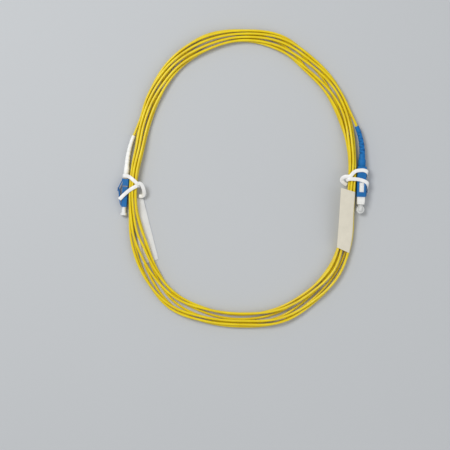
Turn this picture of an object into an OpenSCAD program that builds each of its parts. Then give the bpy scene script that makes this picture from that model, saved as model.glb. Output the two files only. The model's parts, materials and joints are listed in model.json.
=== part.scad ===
// Simplex fiber optic patch cord, LC plug to SC plug, wound into a flat loop
// and held by two plastic ties, with a paper flag near each plug.
// Millimetres, +Z up. The loop lies on the plane z = 0. The origin is on that
// plane, under the middle of the plugs, ties and flags. Each plug is drawn in
// a frame of its own: +X towards the ferrule tip, x = 0 where the boot meets
// the plug, z = 0 on the plug's axis.

/* [Cord] */
// Outer diameter of the yellow jacket
cord_d = 2.0; // [1.8:0.1:2.1]
// Bore of the jacket
jacket_bore_d = 1.5; // [1.4:0.05:1.6]
// Diameter of the tight buffered fibre inside the jacket
buffer_d = 0.9; // [0.7:0.05:1.0]
// Clear space between neighbouring turns of the loop
turn_gap = 0.72; // [0.7:0.01:0.8]
// Half the loop's width, about the mean of its middle radius
loop_r = 104; // [101:0.5:106]

/* [SC plug] */
// Length of the sliding grip housing
sc_housing_l = 25.1; // [24:0.1:27]
// Width of the grip housing across its narrow side
sc_housing_w = 7.4; // [7.2:0.1:8]
// Height of the grip housing as it lies
sc_housing_h = 9.0; // [8.8:0.1:9.6]
// Wall of the grip housing on its wide faces
sc_side_wall = 0.45; // [0.35:0.05:0.5]
// Wall of the grip housing on its narrow faces
sc_top_wall = 0.75; // [0.5:0.05:0.9]
// How far the plug frame stands out of the grip housing
sc_frame_out = 6.2; // [4:0.1:7]
// How far the grip housing slides back to unlatch
sc_travel = 2.0; // [1:0.1:2.5]
// Height of the polarity key
sc_key_h = 0.9; // [0.5:0.1:1.2]
// Ferrule diameter
sc_ferrule_d = 2.5; // [2.4:0.05:2.6]
// Ferrule length
sc_ferrule_l = 10.5; // [10:0.1:11.5]
// How far the ferrule stands out of the plug frame
sc_ferrule_out = 4.5; // [3.5:0.1:5]
// Diameter of the round pull tab on the dust cap
sc_tab_d = 6.6; // [5:0.1:8]
// Wire of the ferrule spring
sc_spring_wire = 0.6; // [0.5:0.05:0.65]

/* [LC plug] */
// Side of the square plug body
lc_body_w = 4.52; // [4.4:0.02:4.8]
// Length of the front body
lc_body_l = 17.0; // [15.5:0.1:19]
// Ferrule diameter
lc_ferrule_d = 1.25; // [1.2:0.01:1.3]
// Ferrule length
lc_ferrule_l = 7.0; // [6.4:0.1:7.6]
// How far the ferrule stands out of the front body
lc_ferrule_out = 2.0; // [1:0.1:2.4]
// Thickness of the latch arm
lc_latch_t = 0.7; // [0.5:0.05:0.8]
// Width of the latch arm between its two ears
lc_latch_w = 2.9; // [2.4:0.1:3.2]
// Diameter of the dust cap's end flange
lc_cap_flange_d = 5.2; // [4.4:0.1:5.4]
// Wire of the ferrule spring
lc_spring_wire = 0.35; // [0.3:0.05:0.4]

/* [Boots] */
// Length of either boot behind its plug
boot_l = 34; // [33:0.5:35]
// Diameter of the SC boot at its base
sc_boot_base_d = 6.2; // [5.8:0.1:6.2]
// Diameter of the SC boot over its last rib
sc_boot_tail_d = 3.6; // [3.2:0.1:4]
// Number of ribs on the SC boot
sc_ribs = 7; // [6:1:9]
// Diameter of the LC boot at its base
lc_boot_base_d = 4.6; // [4.4:0.1:4.8]
// Diameter of the LC boot at its tail
lc_boot_tail_d = 3.0; // [2.8:0.1:3.4]

/* [Ties and flags] */
// Width of the tie strip
tie_w = 3.0; // [2:0.1:3.2]
// Thickness of the tie strip
tie_t = 0.4; // [0.3:0.05:0.45]
// Width of a paper flag, across the cord
flag_w = 12; // [10:0.5:14]
// Thickness of a folded paper flag
flag_t = 0.22; // [0.15:0.01:0.25]

/* [Hidden] */

$fn = 48;
slide_gap = 0.05;          // running fit between parts that slide
seat_gap = 0.05;           // between parts that seat on each other
rest_gap = 0.2;            // a plug's rest above the tie strip under it
cord_r = cord_d / 2;

// Colours
jacket_yellow = "#e8c832";
sc_blue = "#1d66b4";
plastic_white = "#f2f2ee";
cap_clear = "#e4e8e6";
ceramic_white = "#fbfaf5";
steel_grey = "#b9bcc0";
brass = "#c8a858";
yarn_yellow = "#d9b84a";
paper_white = "#efe9d6";
paper_grey = "#d8d8d2";

// ------------------------------------------------------------------ maths

function ease(x) = let (t = min(1, max(0, x))) t * t * (3 - 2 * t);
function unit(v) = v / norm(v);
function mix(a, b, f) = a * (1 - f) + b * f;
function heading(a) = [sin(a), cos(a), 0];          // clockwise from +Y

// Value at step f between b and c of the smooth curve through a, b, c, d
function smooth(a, b, c, d, f) =
    b + 0.5 * f * (c - a + f * (2 * a - 5 * b + 4 * c - d + f * (3 * (b - c) + d - a)));

// Smooth curve through points, with n steps to a span
function smooth_path(p, n, closed = false) =
    let (m = len(p), last = closed ? m : m - 1)
    let (at = function (i) closed ? p[(i + m) % m] : p[min(m - 1, max(0, i))])
    [for (i = [0 : last - 1], k = [0 : n - 1])
            smooth(at(i - 1), at(i), at(i + 1), at(i + 2), k / n),
        if (!closed) p[m - 1]];

// ------------------------------------------------------- general solids

module rod_x(x0, x1, r) {
    translate([x0, 0, 0]) rotate([0, 90, 0]) cylinder(h = x1 - x0, r = r);
}

// Solid of revolution about X from [x, radius] pairs
module lathe_x(outline) {
    rotate([0, 90, 0]) rotate_extrude() polygon([for (p = outline) [p.y, p.x]]);
}

// Outline of a w by h rectangle with its corners cut by c
function cut_corners(w, h, c) =
    let (a = w / 2, b = h / 2)
    [[a, c - b], [a, b - c], [a - c, b], [c - a, b],
        [-a, b - c], [-a, c - b], [c - a, -b], [a - c, -b]];

// Bar along X whose section is w in Y by h in Z, with cut corners
module bar_x(x0, x1, w, h, c) {
    translate([x0, 0, 0]) rotate([90, 0, 90]) linear_extrude(x1 - x0) polygon(cut_corners(w, h, c));
}

// Two triangles for each side of the wall between ring a and ring b
function wall(a, b, n) =
    [for (i = [0 : n - 1]) let (j = (i + 1) % n) each [[a + i, b + j, a + j], [a + i, b + i, b + j]]];
function fan(a, n) = [for (i = [1 : n - 2]) [a, a + i + 1, a + i]];

// Strip of triangles over a section whose point i faces point n - 1 - i
function band(a, n) = [for (i = [0 : n / 2 - 2]) let (j = n - 1 - i)
        each [[a + i, a + j, a + j - 1], [a + i, a + j - 1, a + i + 1]]];
function turned(faces) = [for (f = faces) [f[0], f[2], f[1]]];

// Skin over rings of n points each: open ends are capped, closed ones joined.
// The cap of a folded section is a band between its two sides.
module skin(rings, closed = false, folded = false) {
    n = len(rings[0]);
    m = len(rings);
    cap = function (a) folded ? band(a, n) : fan(a, n);
    polyhedron([for (r = rings) each r],
        [for (i = [0 : m - (closed ? 1 : 2)]) each wall(i * n, ((i + 1) % m) * n, n),
            if (!closed) each turned(cap(0)),
            if (!closed) each cap((m - 1) * n)]);
}

// Ring of n points round p, across direction t, that keeps one side level
function level_ring(p, t, r, n) =
    let (side = unit(cross(t, [0, 0, 1])), up = cross(side, t))
    [for (i = [0 : n - 1]) let (a = -360 * i / n) p + r * (cos(a) * side + sin(a) * up)];

function direction(p, i) =
    let (m = len(p), a = p[max(0, i - 1)], b = p[i], c = p[min(m - 1, i + 1)])
    i == 0 ? unit(c - b) : i == m - 1 ? unit(b - a) : unit(unit(b - a) + unit(c - b));

// ------------------------------------------------- where the plugs lie

sc_axis_z = tie_t + rest_gap + sc_housing_h / 2;
lc_clip_wall = 0.3;
lc_clip_w = lc_body_w + 2 * lc_clip_wall;
lc_axis_z = tie_t + rest_gap + lc_clip_w / 2;

// [base of the boot, heading of the boot there, how far the boot bends]
sc_place = [[loop_r - 5.65, 23.65, sc_axis_z], 2, -25];
lc_place = [[7 - loop_r, 16.3, lc_axis_z], 4, 18];
boot_straight = 9;         // the boot is straight over the crimp sleeve

// Point and direction of a boot's middle line, s behind the plug
function boot_angle(bend, s) = bend * max(0, s - boot_straight) / (boot_l - boot_straight);
function boot_point(bend, s) =
    let (b = boot_angle(bend, s), rho = (boot_l - boot_straight) / (bend * PI / 180))
    s <= boot_straight ? [-s, 0, 0] : [-boot_straight - rho * sin(b), rho * (1 - cos(b)), 0];
function boot_heading(bend, s) =
    let (b = boot_angle(bend, s)) [-cos(b), sin(b), 0];

module at_plug(place) {
    translate(place[0]) rotate([0, 0, -90 - place[1]]) children();
}
function plug_to_row(place, p) =
    let (a = -90 - place[1])
    place[0] + [p.x * cos(a) - p.y * sin(a), p.x * sin(a) + p.y * cos(a), p.z];
function tail_point(place) = plug_to_row(place, boot_point(place[2], boot_l));
function tail_heading(place) = heading(place[1] + place[2]);

// ------------------------------------------------------------- the loop

turns = 7.37;              // from the LC boot's tail to the SC boot's tail
rings_per_turn = 24;
start_angle = 292;         // clockwise from +Y, at the LC boot's tail
loop_centre = [-0.1, 12.65];
turn_l = 6.54 * loop_r;    // about the length of one turn
lead = 0.055;              // part of a turn in which an end leaves its boot
end_straight = 1.5 * cord_d;
tie_lift = tie_t + 0.3;    // the bundle's rest on the strips under it
slot = cord_d + turn_gap;  // cord's width and its gap

// The bundle every 15 degrees, clockwise from +Y: its middle radius beyond
// loop_r, its half width, how far the turns have shifted round the bundle, and
// an inner gap
bundle = [
    [16.5, 4.6, 1.75, 0], [14.5, 5.9, 1.15, 0.6], [7, 6.1, 0.45, 1.2], [1.5, 6, -0.1, 1.6],
    [-5, 4.8, -0.3, 0.8], [-10.5, 2.6, 0.5, 0], [-13.1, 2.3, 1.4, 0], [-11.8, 2.7, 1.5, 0],
    [-4.8, 4.9, 1.25, 0.6], [3.5, 5.6, 0.95, 1.4], [8.4, 5.6, 1.4, 0.4], [12.8, 6.3, 2, 0],
    [12.5, 5.5, 2.5, 0.3], [12.7, 5.8, 2.3, 0.6], [12.4, 6.4, 1.7, 0.4], [5.1, 6.5, 1.1, 1.2],
    [-3.5, 6.3, 0.9, 1.2], [-9.4, 3, 0.7, 0], [-13, 2.4, 0.5, 0], [-13.8, 3.4, 0.2, 0],
    [-9, 4.6, 0.2, 0.8], [-1, 5.4, 0.55, 1.2], [8.3, 5.5, 1.25, 0.6], [14.4, 6.3, 1.8, 0.4]];
stations = len(bundle);
function station(i, column) = bundle[(i + stations) % stations][column];
function along(x, column) =
    let (i = floor(x))
    smooth(station(i - 1, column), station(i, column), station(i + 1, column), station(i + 2, column), x - i);

// Eight cords lie round the bundle over the top, seven where the ends are away.
// The bundle is lifted where a tie passes under it.
sc_span = [65, 125];       // angles beside the SC plug
lc_span = [225, start_angle];
lc_lift_span = [205, 300];
function within(a, span) = ease((a - span[0]) / 20) * ease((span[1] - a) / 20);
function cords_at(a) = 8 - max(within(a, sc_span), within(a, lc_span));
function lift_at(a) = tie_lift * max(within(a, sc_span), within(a, lc_lift_span));

// The cords lie in a ring of slots on a stadium of half width a, half height c
function perimeter(a, c) = 4 * abs(a - c) + 2 * PI * min(a, c);
function half_height(a, p) =
    let (k = 2 * PI - 4, c = (p - 4 * a) / k)
    c <= a ? max(1.05 * cord_d, c) : (p - k * a) / 4;
function quarter(a, c, t) =
    let (r = min(a, c), rise = max(c - a, 0), deg = (t - rise) / r * 180 / PI)
    t < rise ? [a, t]
    : deg < 90 ? [a - r + r * cos(deg), rise + r * sin(deg)]
    : [a - r - (t - rise - PI / 2 * r), c];
function stadium(a, c, t) =
    let (p = perimeter(a, c), w = t - p * floor(t / p))
    w > p / 2 ? -stadium(a, c, w - p / 2)
    : w > p / 4 ? let (q = quarter(a, c, p / 2 - w)) [-q.x, q.y]
    : quarter(a, c, w);

// Height of the bundle's top at an angle
function bundle_top(angle) =
    let (x = angle / 15, a = along(x, 1) - max(0, along(x, 3)) / 2)
    2 * (cord_r + half_height(a, cords_at(angle) * slot)) + lift_at(angle);

// Place of the cord in the bundle, [outwards, up], after t turns
row_bias = 0.08;
function in_bundle(t, angle) =
    let (x = angle / 15, gap = max(0, along(x, 3)), a = along(x, 1) - gap / 2, n = cords_at(angle))
    let (c = half_height(a, n * slot), q = (along(x, 2) - t) / n)
    let (bias = row_bias * ease((a - 3) / 2) * cos(360 * q) / (2 * PI))
    let (s = stadium(a, c, (q + bias) * perimeter(a, c)))
    [s.x - gap * (ease((-s.x - 0.2) / 2.5) - 0.5), cord_r + c + s.y + lift_at(angle)];
function loop_point(t) =
    let (a = (start_angle + 360 * t) % 360, q = in_bundle(t, a), r = loop_r + along(a / 15, 0) + q.x)
    [loop_centre.x + r * sin(a), loop_centre.y + r * cos(a), q.y];

// An end runs straight out of its boot and then joins the bundle
function from_boot(place, s, p) =
    mix(tail_point(place) + s * tail_heading(place), p,
        ease((s - end_straight) / (lead * turn_l - end_straight)));
function cord_point(t) =
    t < lead ? from_boot(lc_place, t * turn_l, loop_point(t))
    : t > turns - lead ? from_boot(sc_place, (turns - t) * turn_l, loop_point(t))
    : loop_point(t);

whole_rings = floor(turns * rings_per_turn);
cord_steps = [0, end_straight / turn_l, for (i = [1 : whole_rings]) i / rings_per_turn,
    turns - end_straight / turn_l, turns];
cord_line = [for (t = cord_steps) cord_point(t)];

module cord_coil() {
    m = len(cord_line);
    color(jacket_yellow)
        skin([for (i = [0 : m - 1])
                level_ring(cord_line[i], i == 0 ? tail_heading(lc_place)
                    : i == m - 1 ? -tail_heading(sc_place) : direction(cord_line, i), cord_r, 6)]);
}

// Least gap between two turns, on ring centres and the middles between them
probe = [for (i = [0 : len(cord_line) - 2]) each
        [cord_line[i], mix(cord_line[i], cord_line[i + 1], 0.5)]];
near_self = 12;            // steps along the cord that count as its own turn
least_gap = min([for (i = [0 : len(probe) - 1 - near_self], j = [i + near_self : len(probe) - 1])
            norm(probe[i] - probe[j])]) - cord_d;
function total(v, i = 0) = i < len(v) ? v[i] + total(v, i + 1) : 0;
cord_length = 2 * boot_l + total([for (i = [1 : len(cord_line) - 1]) norm(cord_line[i] - cord_line[i - 1])]);
union() {  // cord_coil
    echo(str("least gap between turns ", least_gap, " mm"));
    echo(str("length of cord between the plugs ", cord_length, " mm"));
}

// ------------------------------------------------ shapes shared by boots

// Turns [s, radius] pairs about a boot's bent middle line
module bent_lathe(bend, outline, n) {
    skin([for (q = outline) level_ring(boot_point(bend, q.x), boot_heading(bend, q.x), q.y, n)],
        closed = true);
}
function boot_steps(s0, s1, n) = [for (i = [0 : n]) s0 + (s1 - s0) * i / n];

cord_fit = 0.05;           // a boot's bore round the cord, and yarn in it
jacket_start = 7.5;        // the cord's jacket begins this far behind the plug
jacket_steps = boot_steps(jacket_start, boot_l, 8);

// A boot's bore round the cord, from its tail inwards. It bends at the same
// places as the jacket inside it.
boot_bore = [for (i = [len(jacket_steps) - 1 : -1 : 1]) [jacket_steps[i], cord_r + cord_fit],
    [boot_straight + 0.3, cord_r + cord_fit]];

// The cord's jacket inside the boot
module jacket_end(place) {
    outer = [for (s = jacket_steps) [s, cord_r]];
    inner = [for (i = [len(jacket_steps) - 1 : -1 : 0]) [jacket_steps[i], jacket_bore_d / 2]];
    color(jacket_yellow) bent_lathe(place[2], concat(outer, inner), 12);
}

// The buffered fibre, from x1 in the plug to the boot's tail
module buffered_fibre(place, x1) {
    steps = concat([-x1, 0], boot_steps(boot_straight, boot_l, 8));
    color(paper_white)
        skin([for (s = steps) level_ring(boot_point(place[2], s), boot_heading(place[2], s),
                    buffer_d / 2, 8)]);
}

// Crimped joint behind a plug: post, then yarn, then a sleeve down to the cord
crimp_front = -0.2;        // front of the crimp sleeve
post_back = -5.2;
crimp_wall = 0.3;
yarn_t = 0.2;
module aramid_yarn(post_r) {
    inside = buffer_d / 2 + cord_fit;
    outside = jacket_bore_d / 2 - cord_fit;
    color(yarn_yellow)
        lathe_x([[crimp_front - 0.3, post_r + slide_gap], [crimp_front - 0.3, post_r + slide_gap + yarn_t],
                [post_back, post_r + slide_gap + yarn_t], [-jacket_start + 0.3, outside],
                [-boot_straight, outside], [-boot_straight, inside],
                [-jacket_start + 0.2, inside], [post_back - 0.1, post_r + slide_gap]]);
}
module crimp_sleeve(post_r) {
    r = post_r + yarn_t + 2 * slide_gap;
    neck = cord_r + cord_fit;
    color(steel_grey)
        lathe_x([[crimp_front, r], [crimp_front, r + crimp_wall], [post_back - 0.2, r + crimp_wall],
                [-jacket_start, neck + crimp_wall], [-boot_straight, neck + crimp_wall],
                [-boot_straight, neck], [-jacket_start, neck], [post_back - 0.2, r]]);
}

// Tubular post with a knurl of n rings for the yarn
module knurled_post(x0, x1, r, bore_r, n) {
    pitch = (x1 - x0) / n;
    depth = 0.1;
    edge = [for (i = [0 : n - 1]) each
            [[x0 + i * pitch, r - depth], [x0 + (i + 0.5) * pitch, r], [x0 + (i + 1) * pitch, r - depth]]];
    ridge = [for (i = [0 : len(edge) - 1]) if (i == 0 || edge[i] != edge[i - 1]) edge[i]];
    lathe_x(concat(ridge, [[x1, bore_r], [x0, bore_r]]));
}

// Coil spring along X from x0 to x1, with cut ends
spring_rings = 8;
module coil_spring(x0, x1, mean_r, wire, curls) {
    m = curls * spring_rings;
    a = x0 + wire / 2;
    pitch = (x1 - x0 - wire) / curls;
    line = [for (i = [0 : m]) let (b = 360 * i / spring_rings)
                [a + pitch * i / spring_rings, mean_r * cos(b), mean_r * sin(b)]];
    skin([for (i = [0 : m]) let (b = 360 * i / spring_rings)
                let (t = unit([pitch, -2 * PI * mean_r * sin(b), 2 * PI * mean_r * cos(b)]))
                let (out = [0, cos(b), sin(b)], across = cross(t, out))
                [for (k = [0 : 5]) line[i] + wire / 2 * (cos(60 * k) * out + sin(60 * k) * across)]]);
}

// --------------------------------------------------------------- SC plug

sc_cavity_w = sc_housing_w - 2 * sc_side_wall;
sc_cavity_h = sc_housing_h - 2 * sc_top_wall;
sc_frame_w = sc_cavity_w - 2 * slide_gap;
sc_frame_h = sc_cavity_h - 2 * slide_gap;
sc_frame_back = 4.0;
sc_frame_front = sc_housing_l + sc_frame_out;
sc_recess_d = 5.0;
sc_recess_depth = 1.8;
sc_web_t = 1.3;            // wall that the ferrule's collar stops against
sc_web_back = sc_frame_front - sc_recess_depth - sc_web_t;
sc_bore_d = 5.2;
sc_collar_front = sc_web_back - seat_gap;
sc_collar_l = 1.4;
sc_collar_back = sc_collar_front - sc_collar_l;
sc_stem_r = sc_ferrule_d / 2 + 0.35;
sc_tip = sc_frame_front + sc_ferrule_out;
sc_stem_back = sc_tip - sc_ferrule_l - 5.25;
sc_ferrule_travel = 1.5;
sc_spring_l = 9.7;
sc_spring_back = sc_collar_back - seat_gap - sc_spring_l;
sc_ring_front = sc_spring_back - seat_gap;
sc_post_r = 1.75;
sc_fibre_bore_r = buffer_d / 2 + 0.1;
sc_notch = [15.4, 2.2, 0.5];       // start, length and depth of a latch notch
sc_window_w = 4.0;
sc_window_back = sc_notch[0] - 2.3;
sc_window_front = sc_notch[0] + sc_notch[1] + sc_travel + 1.6;

module sc_outer_housing() {
    ridge_pitch = 1.3;
    ridge_w = 0.6;
    ridge_h = 0.25;
    ridges = 6;
    key_w = 2.0;
    key_back = sc_housing_l - 9;
    corner = 0.5;
    color(sc_blue) at_plug(sc_place) difference() {
        union() {
            bar_x(0, sc_housing_l, sc_housing_w, sc_housing_h, corner);
            // grip ridges on both wide faces
            for (i = [0 : ridges - 1], side = [-1, 1])
                translate([1.2 + i * ridge_pitch, side * sc_housing_w / 2 - (side > 0 ? 0.1 : ridge_h),
                        -sc_housing_h / 2 + 1.2])
                    cube([ridge_w, ridge_h + 0.1, sc_housing_h - 2.4]);
            // polarity key
            translate([key_back, sc_housing_w / 2 - 0.1, -key_w / 2])
                cube([sc_housing_l - 0.8 - key_back, sc_key_h + 0.1, key_w]);
        }
        translate([-1, -sc_cavity_w / 2, -sc_cavity_h / 2])
            cube([sc_housing_l + 2, sc_cavity_w, sc_cavity_h]);
        // windows in both narrow faces
        translate([sc_window_back, -sc_window_w / 2, -sc_housing_h])
            cube([sc_window_front - sc_window_back, sc_window_w, 2 * sc_housing_h]);
    }
}

module sc_plug_frame() {
    nose = 1.2;
    color(plastic_white) at_plug(sc_place) difference() {
        union() {
            bar_x(sc_frame_back, sc_frame_front - nose, sc_frame_w, sc_frame_h, 0.4);
            bar_x(sc_frame_front - nose - 0.01, sc_frame_front, sc_frame_w - 0.4, sc_frame_h - 0.4, 0.6);
        }
        rod_x(sc_frame_back - 1, sc_web_back, sc_bore_d / 2);
        rod_x(sc_web_back - 1, sc_frame_front + 1, sc_ferrule_d / 2 + 0.1);
        rod_x(sc_frame_front - sc_recess_depth, sc_frame_front + 1, sc_recess_d / 2);
        for (side = [-1, 1])
            translate([sc_notch[0], -sc_window_w / 2,
                    side > 0 ? sc_frame_h / 2 - sc_notch[2] : -sc_frame_h / 2 - 1])
                cube([sc_notch[1], sc_window_w, sc_notch[2] + 1]);
    }
}

module sc_ferrule() {
    edge = 0.3;
    r = sc_ferrule_d / 2;
    color(ceramic_white) at_plug(sc_place)
        lathe_x([[sc_tip - sc_ferrule_l, 0], [sc_tip - sc_ferrule_l, r], [sc_tip - edge, r],
                [sc_tip, r - edge], [sc_tip, 0]]);
}

module sc_ferrule_flange() {
    collar_r = sc_bore_d / 2 - 0.3;
    key_slot = 0.8;
    color(steel_grey) at_plug(sc_place) difference() {
        union() {
            rod_x(sc_collar_back, sc_collar_front, collar_r);
            rod_x(sc_stem_back, sc_collar_back + 0.1, sc_stem_r);
        }
        rod_x(sc_tip - sc_ferrule_l - seat_gap, sc_collar_front + 1, sc_ferrule_d / 2);
        rod_x(sc_stem_back - 1, sc_tip, sc_fibre_bore_r);
        for (a = [0, 90, 180, 270])
            rotate([a, 0, 0]) translate([sc_collar_back - 0.1, sc_stem_r + 0.15, -key_slot / 2])
                cube([sc_collar_l + 0.2, collar_r, key_slot]);
    }
}

module sc_spring() {
    color(steel_grey) at_plug(sc_place)
        coil_spring(sc_spring_back, sc_spring_back + sc_spring_l,
            sc_stem_r + 0.15 + sc_spring_wire / 2, sc_spring_wire, 8);
}

module sc_stop_ring() {
    shoulder = [2.0, sc_frame_back - seat_gap, 3.0];   // back, front and radius
    color(brass) at_plug(sc_place) difference() {
        union() {
            rod_x(shoulder[1] - 0.1, sc_ring_front, sc_bore_d / 2 - slide_gap);
            rod_x(shoulder[0], shoulder[1], shoulder[2]);
            knurled_post(post_back, shoulder[0] + 0.1, sc_post_r, sc_fibre_bore_r, 8);
        }
        rod_x(post_back - 1, sc_ring_front + 1, sc_fibre_bore_r);
        rod_x(8, sc_ring_front + 1, 1.9);
    }
}

module sc_crimp_sleeve() {
    at_plug(sc_place) crimp_sleeve(sc_post_r);
}

module sc_aramid_yarn() {
    at_plug(sc_place) aramid_yarn(sc_post_r);
}

module sc_jacket_end() {
    at_plug(sc_place) jacket_end(sc_place);
}

module sc_buffered_fibre() {
    at_plug(sc_place) buffered_fibre(sc_place, sc_tip - sc_ferrule_l - sc_ferrule_travel - 2 * seat_gap);
}

module sc_boot() {
    front = -1.8;                      // the boot's front edge, inside the housing
    base_end = 5.6;
    neck_end = 10.6;
    base_r = sc_boot_base_d / 2;
    neck_r = base_r - 0.5;
    tail_r = sc_boot_tail_d / 2;
    rib_depth = 0.45;
    crimp_r = sc_post_r + yarn_t + 2 * slide_gap + crimp_wall + cord_fit;
    pitch = (boot_l - neck_end) / sc_ribs;
    taper = function (s) neck_r + (tail_r - neck_r) * (s - base_end) / (boot_l - base_end);
    ribs = [for (i = [0 : sc_ribs - 1]) let (s = neck_end + i * pitch)
                each [[s, taper(s) - rib_depth], [s + 0.4 * pitch, taper(s) - rib_depth],
                    [s + 0.4 * pitch, taper(s)], [s + pitch, taper(s + pitch)]]];
    color(sc_blue) at_plug(sc_place)
        bent_lathe(sc_place[2], concat([[front, base_r], [base_end, base_r], [base_end + 0.5, neck_r],
                    [neck_end, taper(neck_end)]], ribs, boot_bore,
                [[boot_straight + 0.1, crimp_r], [front, crimp_r]]), 16);
}

module sc_dust_cap() {
    rim = sc_frame_front - sc_recess_depth + rest_gap;
    wall_r = sc_recess_d / 2 - 0.35;
    bore_r = sc_ferrule_d / 2 + slide_gap;
    bore_end = sc_tip + 0.4;
    tab_t = 1.8;
    tab_r = sc_tab_d / 2;
    tab_x = sc_frame_front + 0.9 + tab_r;
    dimple_r = 0.9;
    color(cap_clear) at_plug(sc_place) difference() {
        union() {
            rod_x(rim, bore_end + 0.7, wall_r);
            translate([tab_x, 0, -tab_t / 2]) cylinder(h = tab_t, r = tab_r);
        }
        rod_x(rim - 1, bore_end, bore_r);
        translate([tab_x + tab_r - 2 * dimple_r, 0, tab_t / 2 - 0.4]) cylinder(h = 1, r = dimple_r);
    }
}

// --------------------------------------------------------------- LC plug

lc_body_back = 9.0;
lc_body_front = lc_body_back + lc_body_l;
lc_mouth_r = 1.75;
lc_mouth_depth = 2.6;
lc_web_t = 1.0;
lc_web_back = lc_body_front - lc_mouth_depth - lc_web_t;
lc_bore_r = 1.65;
lc_collar_front = lc_web_back - seat_gap;
lc_collar_l = 1.2;
lc_collar_back = lc_collar_front - lc_collar_l;
lc_stem_r = lc_ferrule_d / 2 + 0.325;
lc_tip = lc_body_front + lc_ferrule_out;
lc_stem_back = lc_tip - lc_ferrule_l - 4.45;
lc_ferrule_travel = 1.0;
lc_spring_l = 6.8;
lc_spring_back = lc_collar_back - seat_gap - lc_spring_l;
lc_post_front = lc_spring_back - seat_gap;
lc_post_r = 1.3;
lc_fibre_bore_r = buffer_d / 2 + 0.05;
lc_rear_w = lc_body_w - 0.22;
lc_rear_back = 2.2;
lc_out = -lc_body_w / 2;               // outer side face, where the latch is
lc_knuckle_r = 0.35;
lc_root = [lc_body_front - 1.4, lc_out - lc_knuckle_r - 0.2];      // latch hinge
lc_latch_l = 13.0;
lc_latch_rise = 2.3;
trigger_knuckle_r = 0.3;
lc_pivot = [lc_rear_back + 1.5, lc_out - lc_clip_wall - trigger_knuckle_r - slide_gap];   // trigger hinge

module lc_front_body() {
    chamfer = 0.35;
    color(sc_blue) at_plug(lc_place) difference() {
        union() {
            bar_x(lc_body_back, lc_body_front, lc_body_w, lc_body_w, chamfer);
            // lug that carries the latch
            translate([lc_root.x - 0.5, lc_root.y + lc_knuckle_r + slide_gap, -lc_latch_w / 2])
                cube([1.4, lc_out - lc_root.y - lc_knuckle_r - slide_gap + 0.1, lc_latch_w]);
            // keying rails behind the front edge
            for (side = [-1, 1])
                translate([lc_body_back + 1, -0.6, side > 0 ? lc_body_w / 2 - 0.1 : -lc_body_w / 2 - 0.15])
                    cube([5, 1.2, 0.25]);
        }
        rod_x(lc_body_back - 1, lc_web_back, lc_bore_r);
        rod_x(lc_web_back - 1, lc_body_front + 1, lc_ferrule_d / 2 + 0.1);
        rod_x(lc_body_front - lc_mouth_depth, lc_body_front + 1, lc_mouth_r);
    }
}

// Latch arm, drawn in plan and given its width in Z. It turns on a round
// knuckle at its front end.
module lc_latch() {
    x0 = lc_root.x;
    y0 = lc_root.y;
    r = lc_knuckle_r;
    t = lc_latch_t;
    slope = lc_latch_rise / lc_latch_l;
    ear = [5.2, 2.4];                  // start and length of the ears, from the root
    arm = [[x0, y0 + r], [x0, y0 - r], [x0 - 1.5, y0 - r - t / 2 - 1.5 * slope],
        [x0 - 11, y0 - r - t / 2 - 11 * slope], [x0 - lc_latch_l, y0 - t / 2 - lc_latch_rise],
        [x0 - lc_latch_l, y0 + t / 2 - lc_latch_rise], [x0 - 1, y0 + r - 0.1 - slope]];
    color(sc_blue) at_plug(lc_place) {
        translate([x0, y0, -lc_latch_w / 2]) cylinder(h = lc_latch_w, r = r);
        translate([0, 0, -lc_latch_w / 2]) linear_extrude(lc_latch_w) polygon(arm);
        translate([0, 0, -lc_body_w / 2]) linear_extrude(lc_body_w)
            polygon([[x0 - ear[0], y0 - 0.1 - slope * ear[0]],
                    [x0 - ear[0], y0 - r - t / 2 - slope * ear[0]],
                    [x0 - ear[0] - ear[1], y0 - r - t / 2 - slope * (ear[0] + ear[1])],
                    [x0 - ear[0] - ear[1], y0 - 0.1 - slope * (ear[0] + ear[1])]]);
    }
}

module lc_rear_clip() {
    x1 = lc_body_back - 0.4;
    x0 = lc_rear_back + 0.4;
    cheek = 0.8;                       // cheeks on either side of the trigger's root
    root_w = 2.4;
    color(sc_blue) at_plug(lc_place) {
        difference() {
            bar_x(x0, x1, lc_clip_w, lc_clip_w, 0.3);
            translate([x0 - 1, -lc_rear_w / 2 - slide_gap, -lc_rear_w / 2 - slide_gap])
                cube([x1 - x0 + 2, lc_rear_w + 2 * slide_gap, lc_rear_w + 2 * slide_gap]);
        }
        for (side = [-1, 1])
            translate([x0, lc_pivot.y - trigger_knuckle_r,
                    side > 0 ? root_w / 2 + slide_gap : -root_w / 2 - slide_gap - cheek])
                cube([2.2, trigger_knuckle_r - lc_pivot.y - lc_clip_w / 2 + 0.05, cheek]);
    }
}

// Trigger that covers the latch's free end and presses it down, on a knuckle
module lc_trigger() {
    x0 = lc_pivot.x;
    y0 = lc_pivot.y;
    r = trigger_knuckle_r;
    root_w = 2.4;
    t = 0.7;
    tip_x = lc_root.x - lc_latch_l + 1.4;
    tip_y = lc_root.y - lc_latch_rise - lc_latch_t / 2 - 0.15;
    color(sc_blue) at_plug(lc_place) {
        translate([x0, y0, -root_w / 2]) cylinder(h = root_w, r = r);
        translate([0, 0, -root_w / 2]) linear_extrude(root_w)
            polygon([[x0, y0 + r], [x0 + 0.6, y0 + 0.2], [tip_x - 1.6, tip_y],
                    [tip_x, tip_y], [tip_x, tip_y - t], [tip_x - 1.8, tip_y - t],
                    [x0, y0 - r]]);
        translate([0, 0, -lc_body_w / 2 + 0.2]) linear_extrude(lc_body_w - 0.4)
            polygon([[tip_x - 2.6, tip_y - 0.1], [tip_x, tip_y], [tip_x, tip_y - t],
                    [tip_x - 2.6, tip_y - t + 0.1]]);
    }
}

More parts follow.
